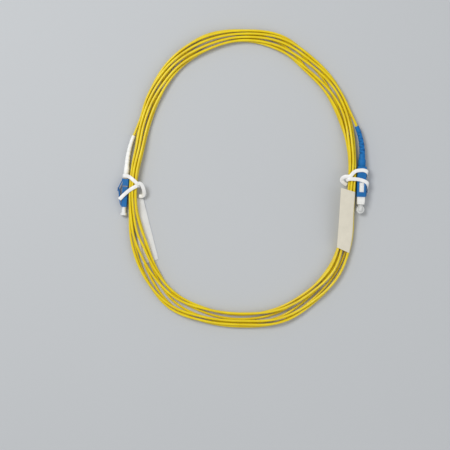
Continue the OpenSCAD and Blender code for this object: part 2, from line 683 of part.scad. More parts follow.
module lc_ferrule() {
    edge = 0.2;
    r = lc_ferrule_d / 2;
    color(ceramic_white) at_plug(lc_place)
        lathe_x([[lc_tip - lc_ferrule_l, 0], [lc_tip - lc_ferrule_l, r], [lc_tip - edge, r],
                [lc_tip, r - edge], [lc_tip, 0]]);
}

module lc_ferrule_flange() {
    collar_r = lc_bore_r - 0.2;
    color(steel_grey) at_plug(lc_place) difference() {
        union() {
            rod_x(lc_collar_back, lc_collar_front, collar_r);
            rod_x(lc_stem_back, lc_collar_back + 0.1, lc_stem_r);
        }
        rod_x(lc_tip - lc_ferrule_l - seat_gap, lc_collar_front + 1, lc_ferrule_d / 2);
        rod_x(lc_stem_back - 1, lc_tip, lc_fibre_bore_r);
    }
}

module lc_spring() {
    color(steel_grey) at_plug(lc_place)
        coil_spring(lc_spring_back, lc_spring_back + lc_spring_l,
            lc_stem_r + 0.12 + lc_spring_wire / 2, lc_spring_wire, 6);
}

module lc_backpost() {
    color(brass) at_plug(lc_place) difference() {
        union() {
            rod_x(lc_body_back - 0.1, lc_post_front, lc_bore_r - slide_gap);
            bar_x(lc_rear_back, lc_body_back - seat_gap, lc_rear_w, lc_rear_w, 0.3);
            knurled_post(post_back, lc_rear_back + 0.1, lc_post_r, lc_fibre_bore_r, 8);
        }
        rod_x(post_back - 1, lc_post_front + 1, lc_fibre_bore_r);
    }
}

module lc_crimp_sleeve() {
    at_plug(lc_place) crimp_sleeve(lc_post_r);
}

module lc_aramid_yarn() {
    at_plug(lc_place) aramid_yarn(lc_post_r);
}

module lc_jacket_end() {
    at_plug(lc_place) jacket_end(lc_place);
}

module lc_buffered_fibre() {
    at_plug(lc_place) buffered_fibre(lc_place, lc_tip - lc_ferrule_l - lc_ferrule_travel - 2 * seat_gap);
}

module lc_boot() {
    front = -lc_rear_back + rest_gap;
    base_end = 7;
    base_r = lc_boot_base_d / 2;
    neck_r = base_r - 0.25;
    tail_r = lc_boot_tail_d / 2;
    grooves = 7;
    groove_depth = 0.2;
    crimp_r = lc_post_r + yarn_t + 2 * slide_gap + crimp_wall + cord_fit;
    pitch = (boot_l - base_end - 3) / grooves;
    taper = function (s) neck_r + (tail_r - neck_r) * (s - base_end) / (boot_l - base_end);
    rings = [for (i = [0 : grooves - 1]) let (s = base_end + 2 + i * pitch)
                each [[s, taper(s)], [s + 0.2, taper(s) - groove_depth],
                    [s + 0.8, taper(s + 0.8) - groove_depth], [s + 1, taper(s + 1)]]];
    color(plastic_white) at_plug(lc_place)
        bent_lathe(lc_place[2], concat([[front, base_r], [base_end - 1, base_r], [base_end, neck_r]],
                rings, [[boot_l - 0.3, tail_r], [boot_l, tail_r - 0.1]], boot_bore,
                [[boot_straight + 0.1, crimp_r], [front, crimp_r]]), 16);
}

module lc_dust_cap() {
    rim = lc_body_front - lc_mouth_depth + rest_gap;
    inner_r = lc_mouth_r - slide_gap;
    outer_end = lc_body_front + 5.0;
    flange_t = 2.0;
    color(cap_clear) at_plug(lc_place) difference() {
        lathe_x([[rim, 0], [rim, inner_r], [lc_body_front + 0.2, inner_r], [outer_end, inner_r + 0.15],
                [outer_end, lc_cap_flange_d / 2 - 0.2], [outer_end + 0.2, lc_cap_flange_d / 2],
                [outer_end + flange_t - 0.3, lc_cap_flange_d / 2],
                [outer_end + flange_t, lc_cap_flange_d / 2 - 0.3], [outer_end + flange_t, 0]]);
        rod_x(rim - 1, lc_tip + 0.4, lc_ferrule_d / 2 + slide_gap);
    }
}

// ------------------------------------------------------------------ ties

// Flat strip along points [x, y, z, plan angle of the strip's width], their x
// and y from the base of a plug's boot
module strip(place, points, closed = false) {
    p = smooth_path([for (q = points) q + [place[0].x, place[0].y, 0, 0]], 3, closed);
    m = len(p);
    at = function (i)
        let (q = p[closed ? (i + m) % m : min(m - 1, max(0, i))]) [q.x, q.y, max(under, q.z)];
    skin([for (i = [0 : m - 1])
            let (t = unit(at(i + 1) - at(i - 1)), w0 = [cos(p[i][3]), sin(p[i][3]), 0])
            let (w = unit(w0 - (w0 * t) * t) * tie_w / 2, h = cross(t, unit(w)) * tie_t / 2)
            [for (v = [w + h, h - w, -w - h, w - h]) let (q = at(i) + v) [q.x, q.y, max(0, q.z)]]], closed);
}

under = tie_t / 2;         // middle of a strip that lies on the table
over_gap = 0.3;            // from the bundle or the plug up to a strip

module sc_tie() {
    over = max(sc_axis_z + sc_housing_h / 2, bundle_top(90)) + over_gap + tie_t / 2;
    side = sc_housing_w / 2 + sc_key_h + 0.05;
    wrap = [[-12.65, -9.5, 7, 90], [-11.65, -8.9, over - 0.6, 110], [-9.65, -7.8, over, 130],
        [-7.85, -5.6, over, 134], [-5.45, -3.9, over, 113], [-2.15, -3.2, over, 95],
        [1.45, -3.3, over, 80], [side - 0.4, -4.8, over - 0.8, 70], [side + 0.1, -6.7, 5, 80],
        [side - 0.2, -7.6, 1.2, 88], [side - 1.5, -8, under, 90], [-3.95, -8.8, under, 90],
        [-8.95, -9.4, under, 90], [-12.05, -9.8, 0.7, 90], [-13.05, -9.7, 3.5, 90]];
    tail = [[-13.15, -11.5, 8.2, 100], [-11.95, -10.6, over - 0.5, 98], [-9.95, -10.4, over + 0.08, 92],
        [-7.05, -10.4, over, 90], [-3.55, -10.7, over, 86], [-0.35, -11.5, over, 76],
        [2.45, -12.6, over, 66], [side - 0.2, -14.3, over - 0.9, 60], [side + 0.4, -16.5, 6.6, 75],
        [side + 0.5, -18.9, 4, 88], [side + 0.1, -21.3, 2, 95]];
    loop = [[-9.65, -8.6, over - 0.1, 100], [-12.15, -8.3, over - 0.4, 95], [-14.55, -8.5, 9.2, 108],
        [-16.45, -9.7, 8.2, 145], [-16.85, -11.5, 7.2, 195], [-15.55, -13, 6.3, 228],
        [-13.85, -14.2, 5.4, 235], [-12.45, -15.1, 4.8, 235]];
    color(plastic_white) {
        strip(sc_place, wrap, true);
        strip(sc_place, tail);
        strip(sc_place, loop);
    }
}

module lc_tie() {
    over = bundle_top(270) + over_gap + tie_t / 2;
    wrap = [[11.2, -8.45, 6, 90], [10.8, -8.35, 8, 80], [9.7, -7.25, over - 0.35, 60],
        [8.2, -5.45, over, 48], [5.6, -3.15, over, 50], [3.5, -1.55, over - 0.85, 58],
        [1.4, -0.55, 7.4, 75], [-0.5, -0.25, 6.4, 90], [-2.1, -0.25, 5.6, 90],
        [-2.9, -0.35, 3.2, 90], [-2.2, -0.65, 1, 90], [-0.2, -1.25, under, 75],
        [4.6, -3.65, under, 65], [8.4, -6.05, under, 65], [10.4, -7.45, 0.8, 75], [11.2, -8.15, 3.2, 90]];
    tail = [[10.9, -7.95, 7.6, 100], [9.4, -8.55, over - 0.35, 112], [7.6, -9.55, over, 119],
        [5.6, -10.65, over, 119], [3.6, -11.85, over - 0.5, 120], [1.6, -13.25, 8.1, 124],
        [-0.6, -15.05, 7, 128], [-2.5, -16.75, 6.5, 131], [-4, -18.25, 6.3, 134], [-5.4, -19.75, 6.2, 135]];
    loop = [[9.9, -6.85, over - 0.45, 95], [11.6, -6.65, over - 0.8, 78], [13.1, -7.75, 8.6, 42],
        [14.2, -9.95, 7.8, 22], [14.9, -12.55, 6.7, 8], [14.9, -14.85, 5.4, -12],
        [13.9, -16.65, 4.2, -48], [12.2, -17.15, 3.6, -88], [10.6, -16.75, 3.3, -105]];
    color(plastic_white) {
        strip(lc_place, wrap, true);
        strip(lc_place, tail);
        strip(lc_place, loop);
    }
}

// ----------------------------------------------------------------- flags

// A strip of paper folded round the cord, its two leaves face to face towards
// the loop's middle. They leave over (1) or under (-1) the cord, rise by tilt
// degrees and reach so far at the strip's two ends, which are cut at a skew.
flag_clear = 0.1;          // between the cord and the paper
leaf_gap = 0.02;
leaf_t = (flag_t - leaf_gap) / 2;
fold_steps = 12;
fold_inner = (cord_r + flag_clear) / cos(180 / fold_steps);
fold_outer = fold_inner + leaf_t;
function fold(r, end) =
    [for (i = [0 : fold_steps]) let (a = 90 + (270 + end) * i / fold_steps) r * [cos(a), sin(a)]];
function backwards(v) = [for (i = [len(v) - 1 : -1 : 0]) v[i]];
function folded_strip(reach) =
    let (tip = reach - fold_outer, low = fold_inner - leaf_gap)
    let (outside = [[tip, fold_outer], each fold(fold_outer, asin((low - leaf_t) / fold_outer)),
                [tip, low - leaf_t]],
        inside = [[tip, fold_inner], each fold(fold_inner, asin(low / fold_inner)), [tip, low]])
    concat(outside, backwards(inside));

module flag(t0, t1, over, tilt, reach, skew) {
    on_line = function (t) let (x = t * rings_per_turn, i = floor(x))
        mix(cord_point(i / rings_per_turn), cord_point((i + 1) / rings_per_turn), x - i);
    inner_rings = [for (i = [ceil(t0 * rings_per_turn) : floor(t1 * rings_per_turn)])
            cord_point(i / rings_per_turn)];
    line = [on_line(t0), each inner_rings, on_line(t1)];
    last = len(line) - 1;
    section = function (f) [for (q = folded_strip(mix(reach[0], reach[1], f)))
                [q.x * cos(tilt) - q.y * sin(tilt), over * (q.x * sin(tilt) + q.y * cos(tilt))]];
    skin([for (i = [0 : last])
            let (t = direction(line, i), side = unit(cross(t, [0, 0, 1])), up = cross(side, t))
            let (ring = over > 0 ? backwards(section(i / last)) : section(i / last))
            [for (q = ring) line[i] + q.x * (side + skew * t) + q.y * up]],
        folded = true);
}

module sc_flag() {
    color(paper_white) flag(0.456, 0.535, 1, 15, [1.08 * flag_w, 1.08 * flag_w], -0.2);
}

module lc_flag() {
    color(paper_grey) flag(2.8264, 2.9125, -1, 0, [1.04 * flag_w, 0.6 * flag_w], 0);
}

cord_coil();
sc_outer_housing();
sc_plug_frame();
sc_ferrule();
sc_ferrule_flange();
sc_spring();
sc_stop_ring();
sc_crimp_sleeve();
sc_boot();
sc_dust_cap();
sc_buffered_fibre();
sc_aramid_yarn();
sc_jacket_end();
lc_front_body();
lc_latch();
lc_rear_clip();
lc_trigger();
lc_ferrule();
lc_ferrule_flange();
lc_spring();
lc_backpost();
lc_crimp_sleeve();
lc_boot();
lc_dust_cap();
lc_buffered_fibre();
lc_aramid_yarn();
lc_jacket_end();
sc_tie();
lc_tie();
sc_flag();
lc_flag();
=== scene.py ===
"""Simplex fiber optic patch cord, wound in a loop, with an LC and an SC plug.

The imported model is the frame: every piece here stands for one of its nodes or
gives it a finish. Lengths are metres in meshes and settings. The routes, the
outlines and the places on the plugs are in millimetres, and become metres
with MM.
"""

import json
import math

import bmesh
import bpy
from bpy.props import FloatProperty, FloatVectorProperty, IntProperty, PointerProperty
from bpy.types import Operator, Panel, PropertyGroup
from mathutils import Matrix, Vector

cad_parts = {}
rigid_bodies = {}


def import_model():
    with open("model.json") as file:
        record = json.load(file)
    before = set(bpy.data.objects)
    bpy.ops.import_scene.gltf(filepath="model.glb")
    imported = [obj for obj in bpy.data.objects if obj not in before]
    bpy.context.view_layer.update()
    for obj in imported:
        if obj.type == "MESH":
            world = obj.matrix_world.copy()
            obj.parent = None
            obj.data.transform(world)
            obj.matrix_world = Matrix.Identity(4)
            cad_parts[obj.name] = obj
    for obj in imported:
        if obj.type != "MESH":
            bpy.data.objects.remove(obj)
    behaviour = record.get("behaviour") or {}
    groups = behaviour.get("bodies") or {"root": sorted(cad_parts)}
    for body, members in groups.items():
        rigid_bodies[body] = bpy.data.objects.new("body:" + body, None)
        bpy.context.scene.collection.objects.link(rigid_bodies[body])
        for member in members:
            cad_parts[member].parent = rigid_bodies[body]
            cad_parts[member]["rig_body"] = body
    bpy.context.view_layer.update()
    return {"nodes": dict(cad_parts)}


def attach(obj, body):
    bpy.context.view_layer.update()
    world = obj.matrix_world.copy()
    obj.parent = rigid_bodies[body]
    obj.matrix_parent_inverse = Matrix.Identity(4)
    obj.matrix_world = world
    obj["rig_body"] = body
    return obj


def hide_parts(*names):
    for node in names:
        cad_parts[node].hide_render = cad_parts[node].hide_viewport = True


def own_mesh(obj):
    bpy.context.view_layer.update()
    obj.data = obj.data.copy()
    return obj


bl_info = {
    "name": "Fiber Optic Patch Cord",
    "version": (1, 0, 0),
    "blender": (4, 5, 0),
    "location": "3D View > Sidebar > Patch Cord",
    "description": "Builds a wound patch cord with its plugs, boots, ties and flags",
    "category": "Add Mesh",
}

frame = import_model()
MM = 0.001
UP = Vector((0, 0, 1))


# ---------------------------------------------------------------- settings


def length(name, description, default):
    """A size that the sidebar shows as a length."""
    return FloatProperty(name=name, description=description, default=default, unit="LENGTH", precision=5)


def colour(name, description, default):
    """A colour that the sidebar shows as a swatch."""
    return FloatVectorProperty(
        name=name, description=description, default=default, subtype="COLOR", min=0, max=1
    )


class CordSettings(PropertyGroup):
    """The yellow cord and its loop."""

    diameter: length("Diameter", "Outer diameter of the jacket", 2.0 * MM)
    turn_gap: length("Turn gap", "Clear space between neighbouring turns", 0.72 * MM)
    rings: IntProperty(name="Rings", description="Rings of the tube in a turn", default=144)
    sides: IntProperty(name="Smoothness", description="Extra points on a ring of the tube", default=4)
    jacket: colour("Jacket", "Yellow of the jacket", (0.87, 0.68, 0.008))
    jacket_shade: colour("Jacket shade", "Deeper yellow in the jacket's mottling", (0.77, 0.56, 0.003))


class PlugSettings(PropertyGroup):
    """Both plugs and their boots."""

    edge: length("Edge", "Rounding of a moulded edge", 0.12 * MM)
    blue: colour("Blue", "Moulded blue of the housings", (0.006, 0.150, 0.44))
    white: colour("White", "Moulded white of the plug frame and the LC boot", (0.91, 0.91, 0.88))
    clear: colour("Cap", "Milky plastic of the dust caps", (0.93, 0.94, 0.93))


class TieSettings(PropertyGroup):
    """Ties round the loop and the paper flags."""

    strip_width: length("Strip width", "Width of the tie strip", 3.0 * MM)
    strip_thickness: length("Strip thickness", "Thickness of the tie strip", 0.4 * MM)
    flag_width: length("Flag width", "Reach of a paper flag across the cord", 12.0 * MM)
    paper: length("Paper", "Thickness of one leaf of a flag", 0.10 * MM)
    strip: colour("Strip", "Plastic of the ties", (0.92, 0.92, 0.91))
    warm_paper: colour("Warm paper", "Paper of the flag near the SC plug", (0.84, 0.79, 0.66))
    # greyer than the warm paper: partly the flag's own grey, partly painted shade for the shadow that the
    # flag lies in under the strands
    grey_and_shade_paper: colour("Grey paper", "Paper of the flag near the LC plug", (0.77, 0.78, 0.79))


class StageSettings(PropertyGroup):
    """Floor, lamps and camera."""

    floor: colour("Floor", "Pale floor", (0.54, 0.56, 0.58))
    view_width: length("View width", "Width of the floor that the camera sees", 373 * MM)
    camera_height: length("Camera height", "Height of the camera above the floor", 0.95)
    key_power: FloatProperty(name="Key", description="Power of the key lamp in watts", default=9.0)
    world: FloatProperty(name="World", description="Strength of the even light", default=0.46)


# ------------------------------------------------------------ the cord's route


def ease(x):
    """Smooth step from 0 to 1."""
    t = min(1.0, max(0.0, x))
    return t * t * (3 - 2 * t)


def smooth(a, b, c, d, f):
    """Value at step f between b and c of the smooth curve through a, b, c and d."""
    return b + 0.5 * f * (c - a + f * (2 * a - 5 * b + 4 * c - d + f * (3 * (b - c) + d - a)))


def heading(degrees):
    """Level direction, clockwise from +Y."""
    a = math.radians(degrees)
    return Vector((math.sin(a), math.cos(a), 0))


class Plug:
    """Where a plug lies: the base of its boot, its heading and its boot's bend."""

    boot_length = 34
    boot_straight = 9

    def __init__(self, base, turn, bend):
        self.base, self.turn, self.bend = Vector(base), turn, bend
        self.matrix = Matrix.Translation(self.base * MM) @ Matrix.Rotation(
            math.radians(-90 - turn), 4, "Z"
        )

    def boot_angle(self, s):
        """Bend of the boot's middle line, s behind the plug, in radians."""
        share = max(0, s - self.boot_straight) / (self.boot_length - self.boot_straight)
        return math.radians(self.bend) * share

    def boot_point(self, s):
        """Point of the boot's middle line in the plug's own frame, in millimetres."""
        if s <= self.boot_straight:
            return Vector((-s, 0, 0))
        b = self.boot_angle(s)
        rho = (self.boot_length - self.boot_straight) / math.radians(self.bend)
        return Vector((-self.boot_straight - rho * math.sin(b), rho * (1 - math.cos(b)), 0))

    @property
    def tail(self):
        """Point on the table at which the cord leaves the boot, in millimetres."""
        return self.matrix @ (self.boot_point(self.boot_length) * MM) / MM

    @property
    def tail_heading(self):
        """Direction in which the cord leaves the boot."""
        return heading(self.turn + self.bend)


SC_PLUG = Plug((98.35, 23.65, 5.1), 2, -25)
LC_PLUG = Plug((-97.0, 16.3, 3.16), 4, 18)


class Loop:
    """The bundle of turns, in millimetres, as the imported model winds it."""

    turns = 7.37
    start_angle = 292
    centre = (-0.1, 12.65)
    radius = 104
    turn_length = 6.54 * radius
    lead = 0.055
    cord_radius = 1.0
    end_straight = 3.0
    most_cords = 8
    # stretches of the loop, in degrees: with a cord fewer, and over the ties;
    # both come and go over ramp degrees
    fewer_cords = ((65, 125), (225, 292))
    over_ties = ((65, 125), (205, 300))
    ramp = 20
    tie_lift = 0.7
    # where the bundle's half width passes wide_from, the turns shift a little
    # along their rows
    row_bias = 0.08
    wide_from, wide_ramp = 3, 2
    # the inner gap opens this far inside the bundle's middle
    gap_from, gap_ramp = 0.2, 2.5
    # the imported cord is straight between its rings, so its middle line runs
    # this far inside the true curve
    chord_inset = 0.4
    # every station degrees, clockwise from +Y: middle radius beyond radius,
    # half width, shift of the turns round the bundle, and an inner gap
    station = 15
    bundle = [
        (16.5, 4.6, 1.75, 0), (14.5, 5.9, 1.15, 0.6), (7, 6.1, 0.45, 1.2), (1.5, 6, -0.1, 1.6),
        (-5, 4.8, -0.3, 0.8), (-10.5, 2.6, 0.5, 0), (-13.1, 2.3, 1.4, 0), (-11.8, 2.7, 1.5, 0),
        (-4.8, 4.9, 1.25, 0.6), (3.5, 5.6, 0.95, 1.4), (8.4, 5.6, 1.4, 0.4), (12.8, 6.3, 2, 0),
        (12.5, 5.5, 2.5, 0.3), (12.7, 5.8, 2.3, 0.6), (12.4, 6.4, 1.7, 0.4), (5.1, 6.5, 1.1, 1.2),
        (-3.5, 6.3, 0.9, 1.2), (-9.4, 3, 0.7, 0), (-13, 2.4, 0.5, 0), (-13.8, 3.4, 0.2, 0),
        (-9, 4.6, 0.2, 0.8), (-1, 5.4, 0.55, 1.2), (8.3, 5.5, 1.25, 0.6), (14.4, 6.3, 1.8, 0.4),
    ]

    def __init__(self, turn_gap):
        self.slot = 2 * self.cord_radius + turn_gap

    def along(self, x, column):
        """Smooth value of a column of the bundle, x stations round."""
        i = math.floor(x)
        at = [self.bundle[(i + k) % len(self.bundle)][column] for k in (-1, 0, 1, 2)]
        return smooth(*at, x - i)

    def within(self, angle, stretches):
        """1 inside the stretches of the loop and 0 outside, with ramps at their ends."""
        return max(
            ease((angle - start) / self.ramp) * ease((end - angle) / self.ramp)
            for start, end in stretches
        )

    def cords_at(self, angle):
        """How many cords lie round the bundle there."""
        return self.most_cords - self.within(angle, self.fewer_cords)

    def lift_at(self, angle):
        """How far the bundle is lifted by the tie strips under it."""
        return self.tie_lift * self.within(angle, self.over_ties)

    def top(self, angle):
        """Height of the bundle's top there."""
        x = angle / self.station
        a = self.along(x, 1) - max(0, self.along(x, 3)) / 2
        half_height = self.half_height(a, self.cords_at(angle) * self.slot)
        return 2 * (self.cord_radius + half_height) + self.lift_at(angle)

    @staticmethod
    def perimeter(a, c):
        """Way round the stadium of half width a and half height c."""
        return 4 * abs(a - c) + 2 * math.pi * min(a, c)

    def half_height(self, a, perimeter):
        """Half height of the stadium of half width a that has this perimeter."""
        k = 2 * math.pi - 4
        c = (perimeter - 4 * a) / k
        return max(1.05 * 2 * self.cord_radius, c) if c <= a else (perimeter - k * a) / 4

    def quarter(self, a, c, t):
        """Point of the stadium's first quarter, t along it."""
        r = min(a, c)
        rise = max(c - a, 0)
        turn = (t - rise) / r
        if t < rise:
            return Vector((a, t))
        if turn < math.pi / 2:
            return Vector((a - r + r * math.cos(turn), rise + r * math.sin(turn)))
        return Vector((a - r - (t - rise - math.pi / 2 * r), c))

    def stadium(self, a, c, t):
        """Point of the whole stadium, t along it from its outer side."""
        p = self.perimeter(a, c)
        w = t % p
        if w > p / 2:
            return -self.stadium(a, c, w - p / 2)
        if w > p / 4:
            q = self.quarter(a, c, p / 2 - w)
            return Vector((-q.x, q.y))
        return self.quarter(a, c, w)

    def in_bundle(self, t, angle):
        """Place of the cord in the bundle, outwards and up, after t turns."""
        x = angle / self.station
        gap = max(0, self.along(x, 3))
        a = self.along(x, 1) - gap / 2
        n = self.cords_at(angle)
        c = self.half_height(a, n * self.slot)
        q = (self.along(x, 2) - t) / n
        wide = ease((a - self.wide_from) / self.wide_ramp)
        bias = self.row_bias * wide * math.cos(2 * math.pi * q) / (2 * math.pi)
        s = self.stadium(a, c, (q + bias) * self.perimeter(a, c))
        out = s.x - gap * (ease((-s.x - self.gap_from) / self.gap_ramp) - 0.5)
        return out, self.cord_radius + c + s.y + self.lift_at(angle)

    def loop_point(self, t):
        """The cord's middle line inside the bundle."""
        angle = (self.start_angle + 360 * t) % 360
        out, up = self.in_bundle(t, angle)
        r = self.radius + self.along(angle / self.station, 0) + out - self.chord_inset
        a = math.radians(angle)
        return Vector((self.centre[0] + r * math.sin(a), self.centre[1] + r * math.cos(a), up))

    def from_boot(self, plug, s, point):
        """An end runs straight out of its boot and then joins the bundle."""
        start = plug.tail + s * plug.tail_heading
        share = ease((s - self.end_straight) / (self.lead * self.turn_length - self.end_straight))
        return start.lerp(point, share)

    def cord_point(self, t):
        """The cord's middle line after t turns, in metres."""
        point = self.loop_point(t)
        if t < self.lead:
            point = self.from_boot(LC_PLUG, t * self.turn_length, point)
        elif t > self.turns - self.lead:
            point = self.from_boot(SC_PLUG, (self.turns - t) * self.turn_length, point)
        return point * MM

    def on_route(self, t, rings):
        """Point t turns along the drawn cord, which is straight between its rings."""
        i = math.floor(t * rings)
        return self.cord_point(i / rings).lerp(self.cord_point((i + 1) / rings), t * rings - i)

    def route(self, rings):
        """Points of the whole cord, from the LC boot's tail to the SC boot's tail."""
        straight = self.end_straight / self.turn_length
        inner = range(1, math.floor(self.turns * rings) + 1)
        middle = [i / rings for i in inner if straight < i / rings < self.turns - straight]
        return [self.cord_point(t) for t in (0, straight, *middle, self.turns - straight, self.turns)]


# -------------------------------------------------------------- making meshes


def finished(bm, name, node, finish, slot_name, smooth_angle=35):
    """Turns a bmesh into a piece that stands for a node and rides with it."""
    mesh = bpy.data.meshes.new(name)
    bm.to_mesh(mesh)
    bm.free()
    mesh.shade_smooth()
    mesh.set_sharp_from_angle(angle=math.radians(smooth_angle))
    piece = bpy.data.objects.new(name, mesh)
    bpy.context.scene.collection.objects.link(piece)
    return stand_in(piece, node, finish, slot_name)


def stand_in(piece, node, finish, slot_name):
    """Gives a piece its finish, hangs it on its node's body and hides the node."""
    piece.data.materials.clear()
    piece.data.materials.append(finish)
    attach(piece, frame["nodes"][node]["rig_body"])
    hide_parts(node)
    return piece


def softened(node, name, finish, slot_name, edge, segments=2):
    """A copy of a moulded node with rounded edges."""
    bm = bmesh.new()
    bm.from_mesh(frame["nodes"][node].data)
    bmesh.ops.remove_doubles(bm, verts=bm.verts, dist=1e-6)
    bmesh.ops.dissolve_limit(bm, angle_limit=math.radians(1), verts=bm.verts, edges=bm.edges)
    piece = finished(bm, name, node, finish, slot_name)
    bevel = piece.modifiers.new("edges", "BEVEL")
    bevel.width = edge
    bevel.segments = segments
    bevel.limit_method = "ANGLE"
    bevel.angle_limit = math.radians(40)
    bevel.harden_normals = True
    return piece


def turned(outline):
    """A bmesh of a closed outline of (x, radius) points, in millimetres, spun about X."""
    bm = bmesh.new()
    points = [bm.verts.new((x * MM, 0, r * MM)) for x, r in outline]
    edges = [bm.edges.new(pair) for pair in zip(points, points[1:] + points[:1])]
    bmesh.ops.spin(
        bm,
        geom=points + edges,
        cent=(0, 0, 0),
        axis=(1, 0, 0),
        angle=2 * math.pi,
        steps=40,
        use_merge=True,
    )
    bmesh.ops.remove_doubles(bm, verts=bm.verts, dist=1e-7)
    bmesh.ops.recalc_face_normals(bm, faces=bm.faces)
    return bm


def extruded(bm, edges, line, places):
    """Extrudes edges, and moves the copies of the line's points to places.

    Returns the new edges, and the new points in the line's order.
    """
    made = bmesh.ops.extrude_edge_only(bm, edges=edges)["geom"]
    lookup = {tuple(v.co): v for v in made if isinstance(v, bmesh.types.BMVert)}
    fresh = [lookup[tuple(v.co)] for v in line]
    for v, p in zip(fresh, places):
        v.co = p
    return [e for e in made if isinstance(e, bmesh.types.BMEdge)], fresh


def swept(rings, closed=False):
    """A bmesh of rings of points, each ring extruded from the one before it.

    A closed one joins its last ring to its first, and an open one has flat ends.
    """
    bm = bmesh.new()
    line = [bm.verts.new(p) for p in rings[0]]
    edges = [bm.edges.new(pair) for pair in zip(line, line[1:] + line[:1])]
    if not closed:
        bm.faces.new(line)
    for ring in rings[1:]:
        edges, line = extruded(bm, edges, line, ring)
    if closed:
        first_edges = [e for e in bm.edges if e.is_boundary and e not in edges]
        bmesh.ops.bridge_loops(bm, edges=edges + first_edges)
    else:
        bm.faces.new(line)
    bmesh.ops.recalc_face_normals(bm, faces=bm.faces)
    return bm


def bend_boot(bm, plug):
    """Bends a straight boot along its plug's middle line and lays it in place."""
    for v in bm.verts:
        s = -v.co.x / MM
        b = plug.boot_angle(s)
        across = Vector((math.sin(b), math.cos(b), 0))
        v.co = plug.boot_point(s) * MM + v.co.y * across + v.co.z * UP
    bmesh.ops.transform(bm, matrix=plug.matrix, verts=bm.verts)


# ------------------------------------------------------------------ finishes


class Wire:
    """A node's output, which numbers and other outputs can be added to or multiply."""

    def __init__(self, finish, socket):
        self.finish, self.socket = finish, socket

    def maths(self, operation, other):
        """A maths node's output for this one and other."""
        return self.finish.node("ShaderNodeMath", {"operation": operation}, {0: self, 1: other})

    def __add__(self, other):
        return self.maths("ADD", other)

    def __mul__(self, other):
        return self.maths("MULTIPLY", other)


class Finish:
    """A material whose nodes are made in code."""

    def __init__(self, name, **constants):
        self.material = bpy.data.materials.new(name)
        self.material.use_nodes = True
        self.tree = self.material.node_tree
        self.shader = self.tree.nodes["Principled BSDF"]
        for key, value in constants.items():
            socket = key.replace("_", " ").title().replace("Ior", "IOR")
            self.shader.inputs[socket].default_value = value
        self.place = self.node("ShaderNodeTexCoord", output="Object")

    def node(self, kind, settings=None, inputs=None, output=0):
        """Adds a node, sets it up, feeds its sockets and returns one output."""
        made = self.tree.nodes.new(kind)
        for key, value in (settings or {}).items():
            setattr(made, key, value)
        for key, value in (inputs or {}).items():
            if isinstance(value, Wire):
                self.tree.links.new(value.socket, made.inputs[key])
            else:
                made.inputs[key].default_value = value
        return Wire(self, made.outputs[output])

    def noise(self, scale, detail=3, roughness=0.5, place=None):
        """Grey noise from 0 to 1, with scale features to a metre."""
        inputs = {"Vector": place or self.place, "Scale": scale, "Detail": detail, "Roughness": roughness}
        return self.node("ShaderNodeTexNoise", {"noise_dimensions": "3D"}, inputs)

    def stretched(self, x, y, z):
        """The object's coordinates, stretched along its axes."""
        return self.node("ShaderNodeMapping", {}, {"Vector": self.place, "Scale": (x, y, z)})

    def between(self, share, low, high):
        """A colour that goes from low to high with share."""
        inputs = {0: share, 6: (*low, 1), 7: (*high, 1)}
        return self.node("ShaderNodeMix", {"data_type": "RGBA"}, inputs, 2)

    def feed(self, socket, wire):
        """Links an output to one of the shader's sockets."""
        self.tree.links.new(wire.socket, self.shader.inputs[socket])

    def bump(self, height, distance, strength):
        """Feeds a height, distance metres high at 1, to the shader's normal."""
        inputs = {"Height": height, "Distance": distance, "Strength": strength}
        self.feed("Normal", self.node("ShaderNodeBump", {}, inputs))


def ramp(finish, value, low, high):
    """Spreads a grey value between two numbers over 0 to 1."""
    inputs = {"Value": value, "From Min": low, "From Max": high}
    return finish.node("ShaderNodeMapRange", {}, inputs)


def dimmed(tone, share):
    """A colour at a share of its brightness."""
    return tuple(share * c for c in tone)


def jacket_finish(settings):
    """Smooth vinyl jacket with faint mottling and handling marks."""
    f = Finish("jacket_yellow", specular_ior_level=0.45)
    mottle = ramp(f, f.noise(90, 4), 0.3, 0.7)
    f.feed("Base Color", f.between(mottle, settings.jacket_shade, settings.jacket))
    f.feed("Roughness", ramp(f, f.noise(420, 3), 0.2, 0.8) * 0.14 + 0.24)
    f.bump(f.noise(2600, 2), 0.00002, 0.5)
    return f.material


def moulded_finish(name, tone, roughness):
    """Injection-moulded plastic with a fine spark-eroded grain."""
    f = Finish(name, specular_ior_level=0.42)
    cloud = ramp(f, f.noise(160, 3), 0.3, 0.7)
    f.feed("Base Color", f.between(cloud, dimmed(tone, 0.86), tone))
    f.feed("Roughness", f.noise(700, 3) * 0.18 + (roughness - 0.09))
    f.bump(f.noise(3000, 2), 0.00001, 0.6)
    return f.material


def rubber_finish(name, tone):
    """Soft moulded boot, matt, with a dusty bloom in its hollows."""
    f = Finish(name, specular_ior_level=0.25)
    bloom = ramp(f, f.noise(300, 4), 0.35, 0.75)
    lighter = tuple(min(1, 1.14 * c + 0.004) for c in tone)
    f.feed("Base Color", f.between(bloom, tone, lighter))
    f.feed("Roughness", f.noise(900, 2) * 0.16 + 0.46)
    f.bump(f.noise(5200, 2), 0.000015, 0.7)
    return f.material


def cap_finish(name, tone, clearness):
    """Milky polyethylene that lets some light through."""
    f = Finish(name, ior=1.51, transmission_weight=clearness, specular_ior_level=0.5)
    f.feed("Base Color", f.between(f.noise(240, 3), dimmed(tone, 0.93), tone))
    f.feed("Roughness", f.noise(900, 3) * 0.14 + 0.36)
    f.bump(f.noise(2400, 2), 0.00001, 0.5)
    return f.material


def strip_finish(tone):
    """Flat plastic strip, faintly clouded and uneven."""
    f = Finish("tie_strip_white", specular_ior_level=0.5)
    cloud = ramp(f, f.noise(210, 4), 0.3, 0.7)
    f.feed("Base Color", f.between(cloud, dimmed(tone, 0.9), tone))
    f.feed("Roughness", f.noise(800, 3) * 0.2 + 0.28)
    f.bump(f.noise(1400, 3), 0.00004, 0.6)
    return f.material


